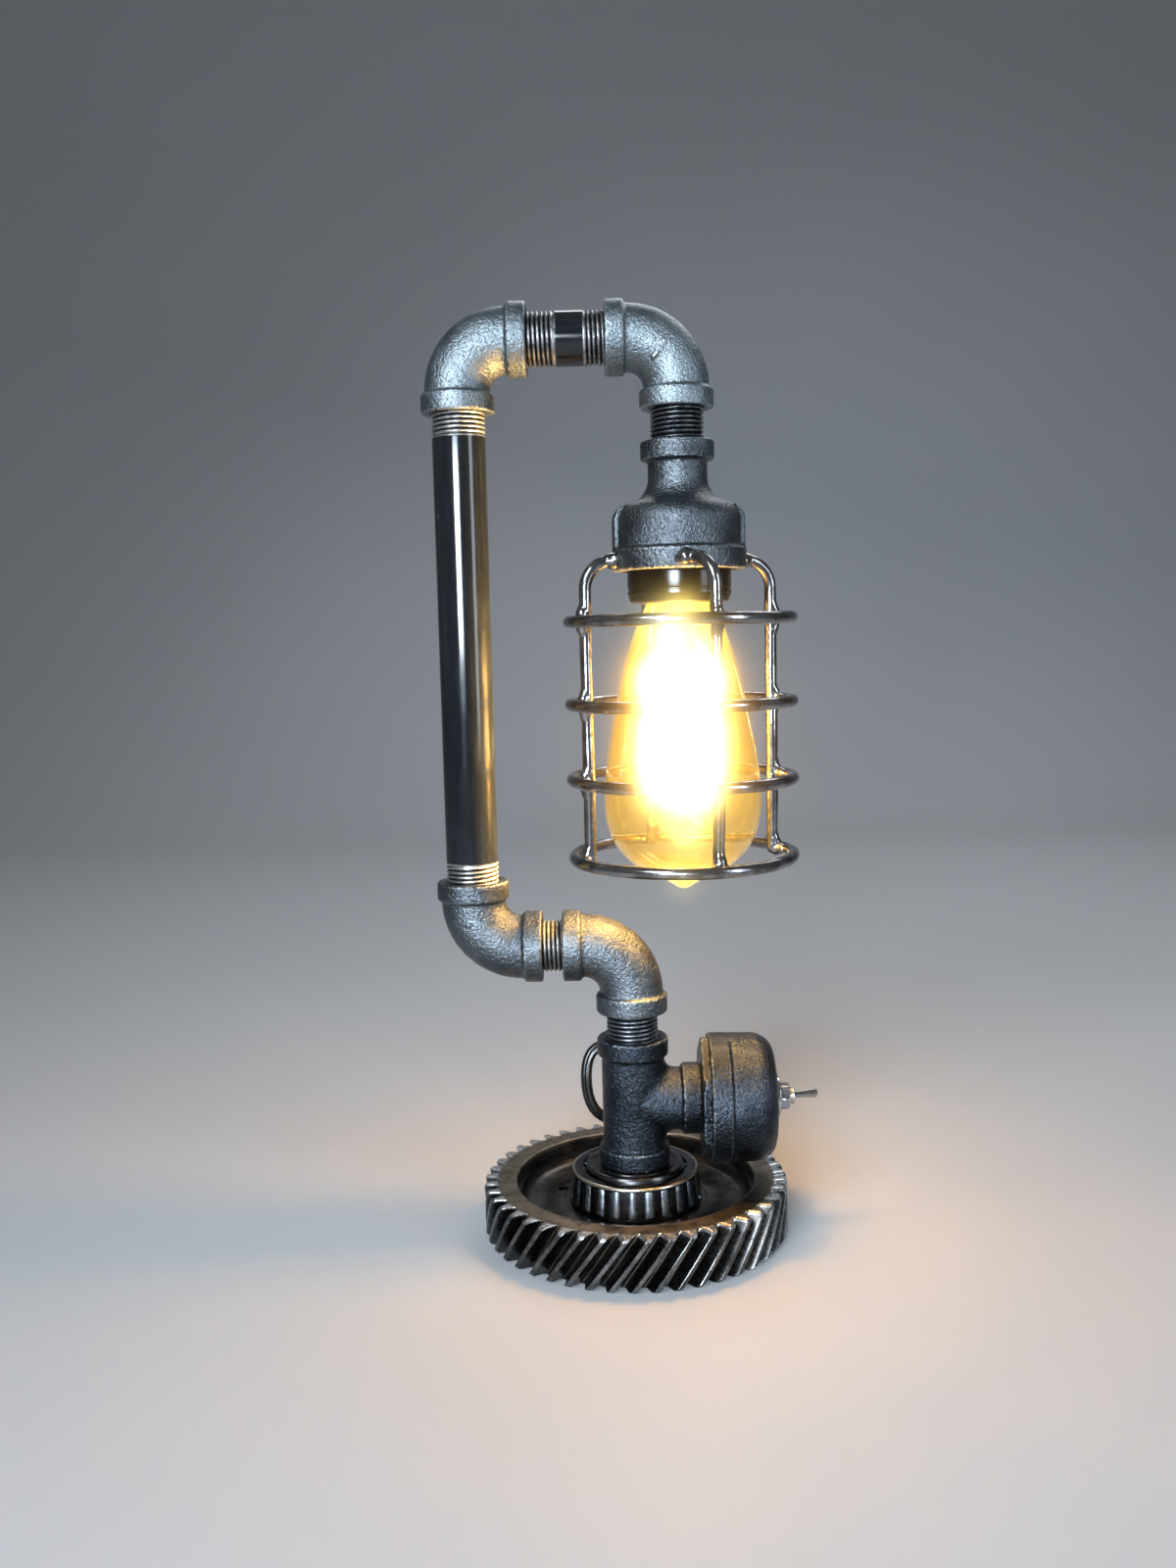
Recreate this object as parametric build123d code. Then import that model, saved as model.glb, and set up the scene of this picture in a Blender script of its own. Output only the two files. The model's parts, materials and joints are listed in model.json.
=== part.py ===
from build123d import *
import os
from math import sin, cos, tan, pi, radians, degrees, sqrt, hypot, atan2, acos

# Pipe lamp on a helical gear foot. Millimetres, +Z up, the foot stands on z = 0.
# X runs along the arm, from the riser towards the switch. Y points to the back.
# Everything is laid out about the gear's axis and moved by SHIFT_X at the end, so
# that the origin is the middle of the footprint box without the cord.

# ---- driving dimensions -------------------------------------------------------
PIPE_R = 10.67          # half-inch pipe, 21.3 outside
PIPE_IR = 7.9
PITCH = 1.814           # 14 threads per inch
FIT = 0.05              # radial gap in a made-up thread
ENGAGE = 13.0           # length of pipe inside a fitting
C2F = 28.2              # elbow centre to face
BODY_R = 13.1           # casting body
COLLAR_R = 14.8         # banded ends of the castings
COLLAR_W = 7.6
BEND_R = 20.0
WATER_R = 8.2

GEAR_R = 63.6           # over the teeth
GEAR_ROOT_R = 57.6
GEAR_H = 21.5
GEAR_N = 45
GEAR_TWIST = 14.4       # turn of a tooth over the face width, degrees
RIM_R = 49.9            # inner edge of the rim
WEB_LO, WEB_HI = 6.5, 12.0

TEE_Z = 54.7            # branch height
TEE_C = 27.1            # tee centre to its upper and lower faces
TEE_B = 27.8            # tee centre to branch face
LOW_Z = 120.9           # lower elbows' centre height
TOP_Z = 365.5           # upper elbows' centre height
RISER_X = -64.6
HEAD_X = 22.5

RED_TOP = 324.8         # bell reducer
RED_H = 51.1
RED_BOT = RED_TOP - RED_H

CAP_X0, CAP_X1 = 31.3, 59.3
CAP_R = 26.8

RING_Z = (254.2, 220.8, 189.9, 158.0)
WIRE_R = 2.5
ROD_C = 39.8            # radius of the cage rods' centres
RING_C = ROD_C + 2 * WIRE_R + 0.06
ROD_END_Z = 156.6
FRONT_TURN = -15.0       # the front rod's root, in degrees round the band from its straight part
CAGE_TURN = 17.0        # turn of the four rods about the head's axis

BULB_TIP = 144.1
BULB_R = 32.0

SWITCH_Z = TEE_Z
PIVOT_X = 62.0
LEVER_TILT = 12.0

CORD_D = 4.4
COIL_C = (34.0, 112.0)
COIL_MID_R = 24.45
COIL_TURNS = 10
CORD_LENGTH = 1800.0


# ---- helpers --------------------------------------------------------------------
def outline(start, *steps):
    """A closed face in local XY: a point is a straight run, a pair of points an arc through the first."""
    edges, at = [], start
    for s in steps:
        if isinstance(s[0], tuple):
            edges.append(ThreePointArc(at, s[0], s[1]))
            at = s[1]
        else:
            edges.append(Line(at, s))
            at = s
    if hypot(at[0] - start[0], at[1] - start[1]) > 1e-6:
        edges.append(Line(at, start))
    return make_face([e for c in edges for e in c.edges()])


def lathe(start, *steps):
    """A body of revolution about Z from (r, z) points."""
    return revolve(Plane.XZ * outline(start, *steps), Axis.Z, 360)


def poly_lathe(pts):
    return lathe(pts[0], *pts[1:])


def arc_points(cx, cy, r, a0, a1, n):
    return [(cx + r * cos(radians(a0 + (a1 - a0) * k / n)), cy + r * sin(radians(a0 + (a1 - a0) * k / n))) for k in range(n + 1)]


def cyl(r, z0, z1, x=0.0, y=0.0):
    return Pos(x, y, (z0 + z1) / 2) * Cylinder(r, z1 - z0)


def tube(r1, r0, z0, z1):
    return cyl(r1, z0, z1) - cyl(r0, z0 - 1, z1 + 1)


def along_x(shape, x=0.0, y=0.0, z=0.0):
    """Turns a body built along +Z so that it runs along +X."""
    return Pos(x, y, z) * Rot(0, 90, 0) * shape


def along_y(shape, x=0.0, y=0.0, z=0.0):
    return Pos(x, y, z) * Rot(-90, 0, 0) * shape


def solids_of(shape):
    return list(shape.solids())


def threaded(length, zones, r=PIPE_R, ir=PIPE_IR, depth=0.95, chamfer_end=0.9):
    """Pipe along +Z from 0 with annular thread crests in the stretches given."""
    pts = [(ir, 0.0), (r - chamfer_end, 0.0), (r, chamfer_end)]
    for a, b in zones:
        n = max(1, int((b - a) / PITCH))
        step = (b - a) / n
        z = a
        if z > pts[-1][1] + 1e-4:
            pts.append((r, z))
        for k in range(n):
            pts.append((r - depth, z + step * 0.5))
            pts.append((r, z + step * 0.94))
            pts.append((r, z + step))
            z += step
    pts.append((r, length - chamfer_end))
    pts.append((r - chamfer_end, length))
    pts.append((ir, length))
    clean = [pts[0]]
    for p in pts[1:]:
        if hypot(p[0] - clean[-1][0], p[1] - clean[-1][1]) > 1e-3:
            clean.append(p)
    return poly_lathe(clean)


def sweep_round(points, radii, r, name=""):
    """A round bar along straight runs joined by tangent arcs."""
    line = FilletPolyline(*points, radius=radii) if len(points) > 2 else Line(*points)
    if name:
        print(name, "corner radii", [round(v, 1) for v in (radii if isinstance(radii, list) else [radii])])
    sec = Plane(origin=line @ 0, z_dir=line % 0) * Circle(r)
    body = sweep(sec, path=line)
    want = pi * r * r * line.length
    if abs(body.volume / want - 1) > 0.01:
        print("WARNING", name, "volume", body.volume, "section x length", want)
    return body, line.length


# ---- castings -------------------------------------------------------------------
def collar(z0, up=1, r_body=BODY_R, r=COLLAR_R, w=COLLAR_W):
    """Banded end of a casting: face at z0, band running by w in direction up, solid."""
    s = up
    return lathe((0, z0), (r - 0.8, z0), ((r - 0.23, z0 + s * 0.23), (r, z0 + s * 0.8)), (r, z0 + s * (w - 0.7)),
                 ((r - 0.2, z0 + s * (w - 0.2)), (r - 0.7, z0 + s * w)), (r_body, z0 + s * (w + 0.35)), (0, z0 + s * (w + 0.35)))


def elbow():
    """Ninety-degree elbow, centre at the origin, ports at -Z and +X."""
    ax = Axis((BEND_R, 0, -BEND_R), (0, 1, 0))
    body = revolve(Pos(0, 0, -BEND_R) * Circle(BODY_R), ax, 90)
    stub = cyl(BODY_R, -BEND_R - 1.0, -BEND_R)
    end = collar(-C2F, 1) + stub
    other = Rot(0, -90, 0) * end
    solid = body + end + other
    water = revolve(Pos(0, 0, -BEND_R) * Circle(WATER_R), ax, 90)
    port = cyl(PIPE_R + FIT, -C2F - 1, -C2F + ENGAGE + 0.3) + cyl(WATER_R, -C2F, -BEND_R + 0.01) + Pos(0, 0, -C2F + 0.3) * Cone(PIPE_R + 0.85, PIPE_R + FIT, 0.6)
    solid = solid - water - port - Rot(0, -90, 0) * port
    return solid


def casting_mark(width, height):
    """A plain raised bar left by the mould."""
    b = Box(width, height, 1.6)
    return fillet(b.edges().filter_by(Axis.Z), min(width, height) * 0.45)


E = elbow()
Em = mirror(E, Plane.YZ)                      # ports at -Z and -X
parts, cord_nodes = {}, []

# mark on the elbow's outer quarter: two short raised bars on the front face
bar = Rot(90, 0, 0) * casting_mark(5.4, 1.3)


def with_marks(shape, places):
    """Raised bars that start inside the wall and stand 0.35 mm proud of it."""
    for (x, y, z, ang) in places:
        shape = shape + Pos(x, y, z) * Rot(0, ang, 0) * bar
    return shape


mark_y = -(BODY_R + 0.35 - 0.8)
Em_mark = with_marks(Em, [(-6.6, mark_y, -5.6, -45), (-8.0, mark_y, -8.6, -45)])

parts["top_elbow_left"] = Pos(RISER_X, 0, TOP_Z) * E
parts["top_elbow_right"] = Pos(HEAD_X, 0, TOP_Z) * Em_mark
parts["lower_elbow_left"] = Pos(RISER_X, 0, LOW_Z) * Rot(180, 0, 0) * E
parts["lower_elbow_right"] = Pos(0, 0, LOW_Z) * Em

# tee
tee_body = cyl(BODY_R, -TEE_C + 4, TEE_C - 4)
branch = along_x(cyl(BODY_R - 0.15, 0, TEE_B - 4))
tee = tee_body + branch
try:
    seam = [e for e in tee.edges() if e.geom_type not in (GeomType.LINE, GeomType.CIRCLE)]
    tee = fillet(seam, 4.6)
    print("tee seam fillet made on", len(seam), "edges")
except Exception as err:
    print("tee seam fillet skipped:", type(err).__name__)
tee = tee + collar(-TEE_C, 1) + collar(TEE_C, -1) + along_x(Rot(180, 0, 0) * collar(-TEE_B, 1), 0, 0, 0)
port = cyl(PIPE_R + FIT, TEE_C - ENGAGE - 0.3, TEE_C + 1) + Pos(0, 0, TEE_C - 0.3) * Cone(PIPE_R + FIT, PIPE_R + 0.85, 0.6)
tee = tee - cyl(9.6, -TEE_C + 2, TEE_C - 2) - port - Rot(180, 0, 0) * port
tee = tee - along_x(cyl(9.0, 0, TEE_B)) - along_x(cyl(PIPE_R + FIT, TEE_B - ENGAGE - 0.3, TEE_B + 1))
BUSH_Z = 64.0
tee = tee - along_y(cyl(3.15, 0, 20), 0, 0, BUSH_Z - TEE_Z)
tee = with_marks(tee, [(-1.2, mark_y, 1.6, 90), (1.0, mark_y, 1.0, 90), (4.0, mark_y + 0.35, 0.4, 0)])
tee = tee - cyl(9.6, -TEE_C + 2, TEE_C - 2)
parts["tee"] = Pos(0, 0, TEE_Z) * tee

# bell reducer: wide mouth down
a1 = radians(75)
sx, sz, sr = 17.5, 19.6, 7.5
p1 = (sx + sr * cos(a1), sz + sr * sin(a1))
pm = (sx + sr * cos(a1 / 2), sz + sr * sin(a1 / 2))
neck = 11.9
Rc = (p1[0] - neck) / (1 - cos(a1))
z2 = p1[1] + Rc * sin(a1)
cm = (neck + Rc - Rc * cos(a1 / 2), z2 - Rc * sin(a1 / 2))
red = lathe((0, 0), (26.0, 0), ((26.7, 0.3), (27.0, 1.0)), (27.0, 8.0), ((26.8, 8.5), (26.3, 8.7)), (25.0, 9.1), (25.0, sz),
            (pm, p1), (cm, (neck, z2)), (neck, RED_H - 7.9), (14.0, RED_H - 7.6), ((14.6, RED_H - 7.4), (14.8, RED_H - 6.9)),
            (14.8, RED_H - 0.8), ((14.57, RED_H - 0.23), (14.0, RED_H)), (0, RED_H))
rib = lathe((0, 8.4), (26.7, 8.4), (26.7, 19.5), ((25.6, 23.6), (22.6, 26.2)), (18.0, 27.0), (0, 27.0))
ribs = (rib & Pos(40, 0, 18) * Box(60, 13.5, 40)) + (rib & Pos(-40, 0, 18) * Box(60, 13.5, 40))
red = red + ribs
red = red - lathe((0, -1), (20.95, -1), (20.95, 13.0), (21.0, 13.0), (21.0, 19.0), (9.0, 34.0), (9.0, 37.4), (PIPE_R + FIT, 37.8),
                  (PIPE_R + FIT, RED_H + 1), (0, RED_H + 1)) - Pos(0, 0, RED_H - 0.3) * Cone(PIPE_R + FIT, PIPE_R + 0.85, 0.6)
parts["bell_reducer"] = Pos(HEAD_X, 0, RED_BOT) * red

# ---- pipes and nipples -------------------------------------------------------------
riser_z0 = LOW_Z + C2F - ENGAGE
riser_len = (TOP_Z - C2F + ENGAGE) - riser_z0
parts["riser_pipe"] = Pos(RISER_X, 0, riser_z0) * threaded(riser_len, [(ENGAGE - 1.8, ENGAGE + 8.0), (riser_len - ENGAGE - 9.6, riser_len - ENGAGE + 1.8)])
arm_x0 = RISER_X + C2F - ENGAGE
arm_len = (HEAD_X - C2F + ENGAGE) - arm_x0
parts["arm_nipple"] = along_x(threaded(arm_len, [(ENGAGE - 1.8, ENGAGE + 10.2), (arm_len - ENGAGE - 8.2, arm_len - ENGAGE + 1.8)]), arm_x0, 0, TOP_Z)
mid_x0 = RISER_X + C2F - ENGAGE
mid_len = (0 - C2F + ENGAGE) - mid_x0
parts["mid_nipple"] = along_x(threaded(mid_len, [(ENGAGE - 1.8, mid_len - ENGAGE + 1.8)]), mid_x0, 0, LOW_Z)
col_z0 = TEE_Z + TEE_C - ENGAGE
col_len = (LOW_Z - C2F + ENGAGE) - col_z0
parts["column_nipple"] = Pos(0, 0, col_z0) * threaded(col_len, [(ENGAGE - 1.8, col_len - ENGAGE + 1.8)])
head_z0 = RED_TOP - ENGAGE
head_len = (TOP_Z - C2F + ENGAGE) - head_z0
parts["head_nipple"] = Pos(HEAD_X, 0, head_z0) * threaded(head_len, [(ENGAGE - 1.8, head_len - ENGAGE + 1.8)])
br_x0 = TEE_B - ENGAGE
parts["branch_nipple"] = along_x(threaded(25.4, [(ENGAGE - 1.8, ENGAGE + 1.8)]), br_x0, 0, TEE_Z)
base_z1 = TEE_Z - TEE_C + ENGAGE
parts["base_nipple"] = Pos(0, 0, 1.0) * threaded(base_z1 - 1.0, [(1.5, 10.0)])

# ---- gear foot -----------------------------------------------------------------------
def gear_section(z):
    off = -90.25 + 180.0 / GEAR_N - GEAR_TWIST * (GEAR_H - z) / GEAR_H
    pts = []
    for i in range(GEAR_N):
        c = off + 360.0 / GEAR_N * i
        for r, h in ((GEAR_ROOT_R, -3.15), (60.5, -2.2), (GEAR_R, -0.95), (GEAR_R, 0.95), (60.5, 2.2), (GEAR_ROOT_R, 3.15)):
            a = radians(c + h)
            pts.append((r * cos(a), r * sin(a)))
    return Pos(0, 0, z) * make_face(Polyline(*pts, close=True).edges())


gear = loft([gear_section(GEAR_H * k / 3) for k in range(4)], ruled=True)
keep = lathe((0, 0), (RIM_R, 0), (56.4, 0), (57.0, 0.0), (62.3, 0.0), (64.5, 2.2), (64.5, GEAR_H - 2.0), (62.5, GEAR_H), (0, GEAR_H))
gear = gear & keep
gear = gear - lathe((0, WEB_HI), (41.5, WEB_HI), ((45.3, WEB_HI + 0.9), (47.8, WEB_HI + 3.6)), (49.1, GEAR_H - 0.8), (RIM_R, GEAR_H), (RIM_R, GEAR_H + 2), (0, GEAR_H + 2))
gear = gear - lathe((0, -1), (49.5, -1), (49.5, 0), (48.0, 2.2), ((46.3, 5.4), (42.5, WEB_LO)), (0, WEB_LO))
gear = gear - cyl(PIPE_R + 0.2, -1, 30) - cyl(2.4, 0, 20, -30.9, 9.1)
parts["gear_base"] = gear

parts["base_washer"] = tube(19.0, PIPE_R + 0.2, WEB_LO - 1.6, WEB_LO)
nut = Pos(0, 0, (1.4 + WEB_LO - 1.6) / 2) * extrude(RegularPolygon(27.5 / 2, 8, major_radius=False), (WEB_LO - 3.0) / 2, both=True)
parts["base_locknut"] = nut - cyl(PIPE_R + FIT, -1, 10)

# ---- tapered roller bearing, cone with cage, large end down --------------------------
TEE_BOT = TEE_Z - TEE_C
TILT = 4.5
roll_zm, roll_h = 19.1, 11.0
roll_rm, roll_rb, roll_rt = 24.2, 2.8, 2.55


def raceway(z):
    return roll_rm + (roll_zm - z) * tan(radians(TILT)) - (roll_rb + (roll_rt - roll_rb) * (z - (roll_zm - roll_h / 2)) / roll_h) / cos(radians(TILT)) - 0.05


cone = lathe((13.0, WEB_HI), (24.0, WEB_HI), (24.5, WEB_HI + 0.5), (24.2, 13.35), (raceway(13.35) - 0.35, 13.35), (raceway(13.7), 13.9),
             (raceway(24.6), 24.6), (raceway(25.6) - 0.3, 25.6), (20.4, 26.6), ((20.2, 27.1), (19.6, TEE_BOT)), (16.9, TEE_BOT), (16.6, TEE_BOT - 0.4),
             (16.3, TEE_BOT - 0.0), (13.4, TEE_BOT), (13.0, TEE_BOT - 0.5))
parts["bearing_cone"] = cone
cg0, cg1 = 12.35, 25.95
co = lambda z: 27.85 - (z - cg0) * (27.85 - 26.55) / (cg1 - cg0)
cage = lathe((co(cg0) - 0.5, cg0), (co(cg0), cg0 + 0.6), (co(cg1), cg1 - 0.7), ((co(cg1) - 0.25, cg1 - 0.2), (co(cg1) - 0.9, cg1)), (21.7, cg1), (21.7, cg1 - 0.85),
             (co(cg1) - 1.05, cg1 - 0.9), (co(cg0) - 1.05, cg0 + 0.85), (25.2, cg0 + 0.85), (25.2, cg0))
win = [Rot(0, 0, -90 + 11 + 15 * k) * Pos(27, 0, (13.3 + 24.95) / 2) * Box(4.4, 4.35, 24.95 - 13.3) for k in range(24)]
cage = cage - win
parts["bearing_cage"] = cage
roller = Pos(0, 0, 0) * Cone(roll_rb, roll_rt, roll_h)
rollers = [Rot(0, 0, -90 + 11 + 15 * k) * Pos(roll_rm, 0, roll_zm) * Rot(0, -TILT, 0) * roller for k in range(24)]
parts["bearing_rollers"] = Compound(children=[s for r in rollers for s in solids_of(r)])

# ---- bushing, cap and switch ------------------------------------------------------------
bz = TEE_B + 0.3
hexa = extrude(RegularPolygon(46.0 / 2, 6, major_radius=False), CAP_X0 - bz)
hexa = hexa & lathe((0, 0), (25.0, 0), (25.8, 0.8), (25.8, CAP_X0 - bz), (0, CAP_X0 - bz))
stem = cyl(20.9, CAP_X0 - bz - 0.01, CAP_X0 - bz + 11.5)
bush = hexa + stem - cyl(PIPE_R + FIT, -1, 30)
parts["hex_bushing"] = Pos(bz, 0, TEE_Z) * Rot(0, 90, 0) * bush
L = CAP_X1 - CAP_X0
cap = lathe((0, 0), (26.0, 0), ((26.6, 0.25), (CAP_R, 0.9)), (CAP_R, 7.9), ((26.6, 8.3), (26.2, 8.4)), (25.4, 8.8), (25.4, 9.3), (26.0, 9.8), (26.0, 19.4),
            ((23.75, 24.9), (17.8, L - 0.65)), ((9.0, L - 0.12), (0, L)))
rib = lathe((0, 8.6), (26.8, 8.6), (26.8, 17.5), ((26.3, 20.6), (24.6, 23.2)), (20.0, 24.5), (0, 24.5))
cap = cap + (rib & Pos(40, 0, 18) * Box(60, 12.5, 40)) + (rib & Pos(-40, 0, 18) * Box(60, 12.5, 40))
cap = cap - lathe((0, -1), (20.95, -1), (20.95, 17.5), ((19.5, 22.2), (15.5, 24.6)), (0, 24.6))
cap = cap - cyl(3.55, 10, 40) - lathe((0, L - 0.2), (9.0, L - 0.2), (9.0, L + 2), (0, L + 2))
parts["switch_cap"] = Pos(CAP_X0, 0, TEE_Z) * Rot(0, 90, 0) * cap
seat = CAP_X1 - 0.2
wall_in = CAP_X0 + 24.6
hs = Pos((43.6 + wall_in) / 2, 0, SWITCH_Z) * Box(wall_in - 43.6, 12.6, 12.6)
hs = fillet(hs.edges().filter_by(Axis.X), 1.0)
hs = hs - Pos((45.0 + wall_in - 1.3) / 2, 0, SWITCH_Z) * Box(wall_in - 1.3 - 45.0, 9.8, 9.8) - along_x(cyl(3.05, 0, 10), wall_in - 5, 0, SWITCH_Z)
slot_t = [Pos(44, y, SWITCH_Z) * Box(4, 0.9, 3.1) for y in (-3.0, 3.0)]
hs = hs - slot_t
parts["switch_housing"] = hs
x_end = 67.4
bus = lathe((0, wall_in), (3.5, wall_in), (3.5, x_end - 0.4), (3.1, x_end), (0, x_end))
bus = bus - lathe((0, wall_in - 1), (3.05, wall_in - 1), (3.05, wall_in), (2.44, PIVOT_X - 2.2), (2.44, PIVOT_X + 1.0), (2.9, x_end), (2.9, x_end + 1), (0, x_end + 1))
pin_hole = Pos(PIVOT_X, 0, SWITCH_Z) * Cylinder(0.65, 6.4)
parts["switch_bushing"] = Pos(0, 0, SWITCH_Z) * Rot(0, 90, 0) * bus - pin_hole
parts["switch_washer"] = Pos(seat, 0, SWITCH_Z) * Rot(0, 90, 0) * (tube(8.4, 3.6, 0, 1.9) - lathe((8.0, 1.9), (8.5, 1.4), (8.5, 2.0), (8.0, 2.0)))
nx = seat + 1.9
nut = extrude(RegularPolygon(9.9 / 2, 6, major_radius=False, rotation=0), 4.3) & lathe((0, 0), (5.6, 0), (5.6, 3.7), (5.0, 4.3), (0, 4.3))
parts["switch_nut"] = Pos(nx, 0, SWITCH_Z) * Rot(0, 90, 0) * Rot(0, 0, 30) * (nut - cyl(3.5 + FIT, -1, 6))
# lever: pivot ball, tapered bat outside, short tail inside; built along +Z from the pivot
tip = 15.9
lever = Sphere(2.38) + cyl(0.85, -7.6, 0) + cyl(1.15, 0, 4.5) + Pos(0, 0, (3.0 + tip - 1.8) / 2) * Cone(1.15, 1.8, tip - 1.8 - 3.0) + Pos(0, 0, tip - 1.8) * Sphere(1.8)
lever = Pos(PIVOT_X, 0, SWITCH_Z) * Rot(0, 0, LEVER_TILT) * Rot(0, 90, 0) * lever
lever = lever + Pos(PIVOT_X, 0, SWITCH_Z) * Cylinder(0.6, 6.0)
parts["switch_lever"] = lever
rk = Pos(0.9, 0, 0) * Box(1.2, 8.6, 3.0) + Cylinder(0.9, 5.0)
parts["switch_rocker"] = Pos(49.7, 0, SWITCH_Z) * Rot(0, 0, -7) * rk
tm = []
for y in (-3.0, 3.0):
    t = Pos(44.0, y, SWITCH_Z) * Box(7.0, 0.8, 3.0)
    tm.append(t)
parts["switch_terminals"] = Compound(children=[s for t in tm for s in solids_of(t)])

# ---- socket -------------------------------------------------------------------------------
SK_LO, SK_HI = 260.8, RED_BOT + 0.2
H = Pos(HEAD_X, 0, 0)
skirt = lathe((15.0, SK_LO), (18.6, SK_LO), ((19.6, SK_LO + 0.5), (20.4, SK_LO + 2.2)), (20.9, SK_LO + 3.4), (20.9, SK_HI), (17.4, SK_HI), (17.4, SK_LO + 3.0), (15.0, SK_LO + 2.0))
parts["socket_skirt"] = H * skirt
sb = lathe((17.4, SK_HI), (20.9, SK_HI), (20.9, 286.0), (19.2, 287.2), ((17.8, 290.6), (14.5, 292.6)), (9.0, 294.2), (9.0, 299.0), (4.0, 299.0), (4.0, 292.4), (14.2, 290.8), (17.4, 287.0))
parts["socket_body"] = H * sb
ins = lathe((0, 284.4), (17.35, 284.4), (17.35, 286.8), (14.0, 290.4), (0, 290.4))
ins = ins - cyl(1.3, 280, 300, 10.5, 0) - cyl(1.3, 280, 300, -10.5, 0)
parts["socket_insert"] = H * ins
shell = lathe((13.4, 262.9), (13.8, 262.9), (13.8, 284.4), (9.5, 284.4), (9.5, 284.0), (13.4, 284.0))
parts["socket_shell"] = H * shell
tongue = Pos(0, 0, 284.15) * Box(7.0, 5.0, 0.5)
parts["socket_contact"] = H * fillet(tongue.edges().filter_by(Axis.Z), 1.0)
parts["socket_screws"] = Compound(children=[s for x in (-10.5, 10.5) for s in solids_of(H * (cyl(1.25, 286.0, 290.4, x, 0) + cyl(2.4, 290.4, 291.0 if abs(x) > 12 else 290.9, x, 0)))])

# ---- bulb --------------------------------------------------------------------------------------
bulb_side = [(32.0, 183.0), (31.0, 195.0), (28.4, 211.0), (25.2, 226.0), (21.6, 240.0), (17.6, 251.5), (14.6, 258.0), (12.4, 263.0)]
bulb_out = [(0.0, BULB_TIP), (4.5, 146.1), (9.0, 148.7), (16.0, 151.8), (23.5, 157.3), (29.0, 165.0), (31.6, 174.0)] + bulb_side
bulb_in = [(0.0, BULB_TIP + 1.6), (4.2, 147.4), (8.6, 149.8), (15.6, 152.7), (22.9, 158.0), (28.2, 165.4), (30.7, 174.2)] + [(r - 0.9, z) for r, z in bulb_side]


def bulb_face(pr, top):
    sp = Spline(*pr, tangents=[(1, 0), (0, 1)])
    e = pr[-1]
    edges = [sp, Line(e, (e[0], top)), Line((e[0], top), (0, top)), Line((0, top), (0, pr[0][1]))]
    return make_face([x for s in edges for x in s.edges()])


outer = revolve(Plane.XZ * bulb_face(bulb_out, 268.0), Axis.Z, 360)
inner = revolve(Plane.XZ * bulb_face(bulb_in, 267.1), Axis.Z, 360)
parts["bulb_glass"] = H * (outer - inner)
base = lathe((12.45, 261.4), (13.0, 261.4), *[q for k in range(5) for q in ((12.55, 264.6 + 3.4 * k), (13.05, 266.3 + 3.4 * k))], (12.7, 281.3), (9.2, 282.4), (9.2, 281.9), (12.2, 280.8), (12.1, 268.1), (12.45, 268.1))
parts["bulb_base"] = H * base
parts["bulb_insulator"] = H * lathe((0, 280.0), (11.9, 280.0), (11.9, 280.75), (9.15, 281.78), (9.15, 282.5), (4.5, 283.2), (4.5, 283.0), (0, 283.0))
parts["bulb_contact"] = H * lathe((0, 283.05), (4.3, 283.05), (4.3, 283.25), (3.4, 283.48), (2.0, 283.6), (0, 283.65))
stem = lathe((0, 267.0), (9.4, 267.0), (9.4, 265.4), ((5.8, 258.0), (3.0, 249.0)), (2.6, 245.0), (2.6, 178.0), (2.25, 176.6), (1.3, 175.7), (0, 175.4))
parts["bulb_stem"] = H * stem
FIL_R, FIL_T, FIL_B = 12.5, 234.0, 181.0
NF = 6
pts = []
for k in range(NF):
    a = radians(17 + 60 * k)
    x, y = FIL_R * cos(a), FIL_R * sin(a)
    if k % 2 == 0:
        pts += [(x, y, FIL_T if k else FIL_T + 1.0), (x, y, FIL_B)]
    else:
        pts += [(x, y, FIL_B), (x, y, FIL_T if k < NF - 1 else FIL_T + 1.0)]
fil, fl = sweep_round(pts, 1.6, 0.35, "filament")
parts["bulb_filament"] = H * fil
spokes = []
for k in range(1, NF - 1):
    a = 17 + 60 * (k + 0.5)
    lev = FIL_T if k % 2 == 1 else FIL_B
    length = FIL_R * cos(radians(30)) - 0.55 - 2.65
    spokes.append(H * Rot(0, 0, a) * Pos(2.65 + length / 2, 0, lev) * Rot(0, 90, 0) * Cylinder(0.3, length))
leads = []
for k in (0, NF - 1):
    a = radians(17 + 60 * k)
    p0 = (FIL_R * cos(a), FIL_R * sin(a), FIL_T + 1.05)
    p1_ = (FIL_R * cos(a), FIL_R * sin(a), FIL_T + 6.0)
    p2_ = (6.6 * cos(a), 6.6 * sin(a), 247.0)
    p3_ = (7.2 * cos(a), 7.2 * sin(a), 256.0)
    ld, _ = sweep_round([p0, p1_, p2_, p3_], 2.0, 0.4, "bulb lead")
    leads.append(H * ld)
parts["bulb_supports"] = Compound(children=[s for q in spokes + leads for s in solids_of(q)])

# ---- guard cage ------------------------------------------------------------------------------------
names = {0: "right", 1: "back", 2: "left", 3: "front"}
root_r, root_z = 27.15, RED_BOT + 4.2
rod, rl = sweep_round([(root_r, 0, root_z), (ROD_C, 0, root_z), (ROD_C, 0, ROD_END_Z)], 11.6, WIRE_R, "cage rod")
# a weld bead closes the root, which is cut to the round of the band, and one sits on each ring
for z in RING_Z:
    rod = rod + Pos(RING_C - WIRE_R - 0.2, 0, z) * Sphere(3.7)
rod = rod + Pos(27.9, 0, root_z) * Sphere(4.3) - cyl(27.03, RED_BOT - 10, RED_BOT + 30)
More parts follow.
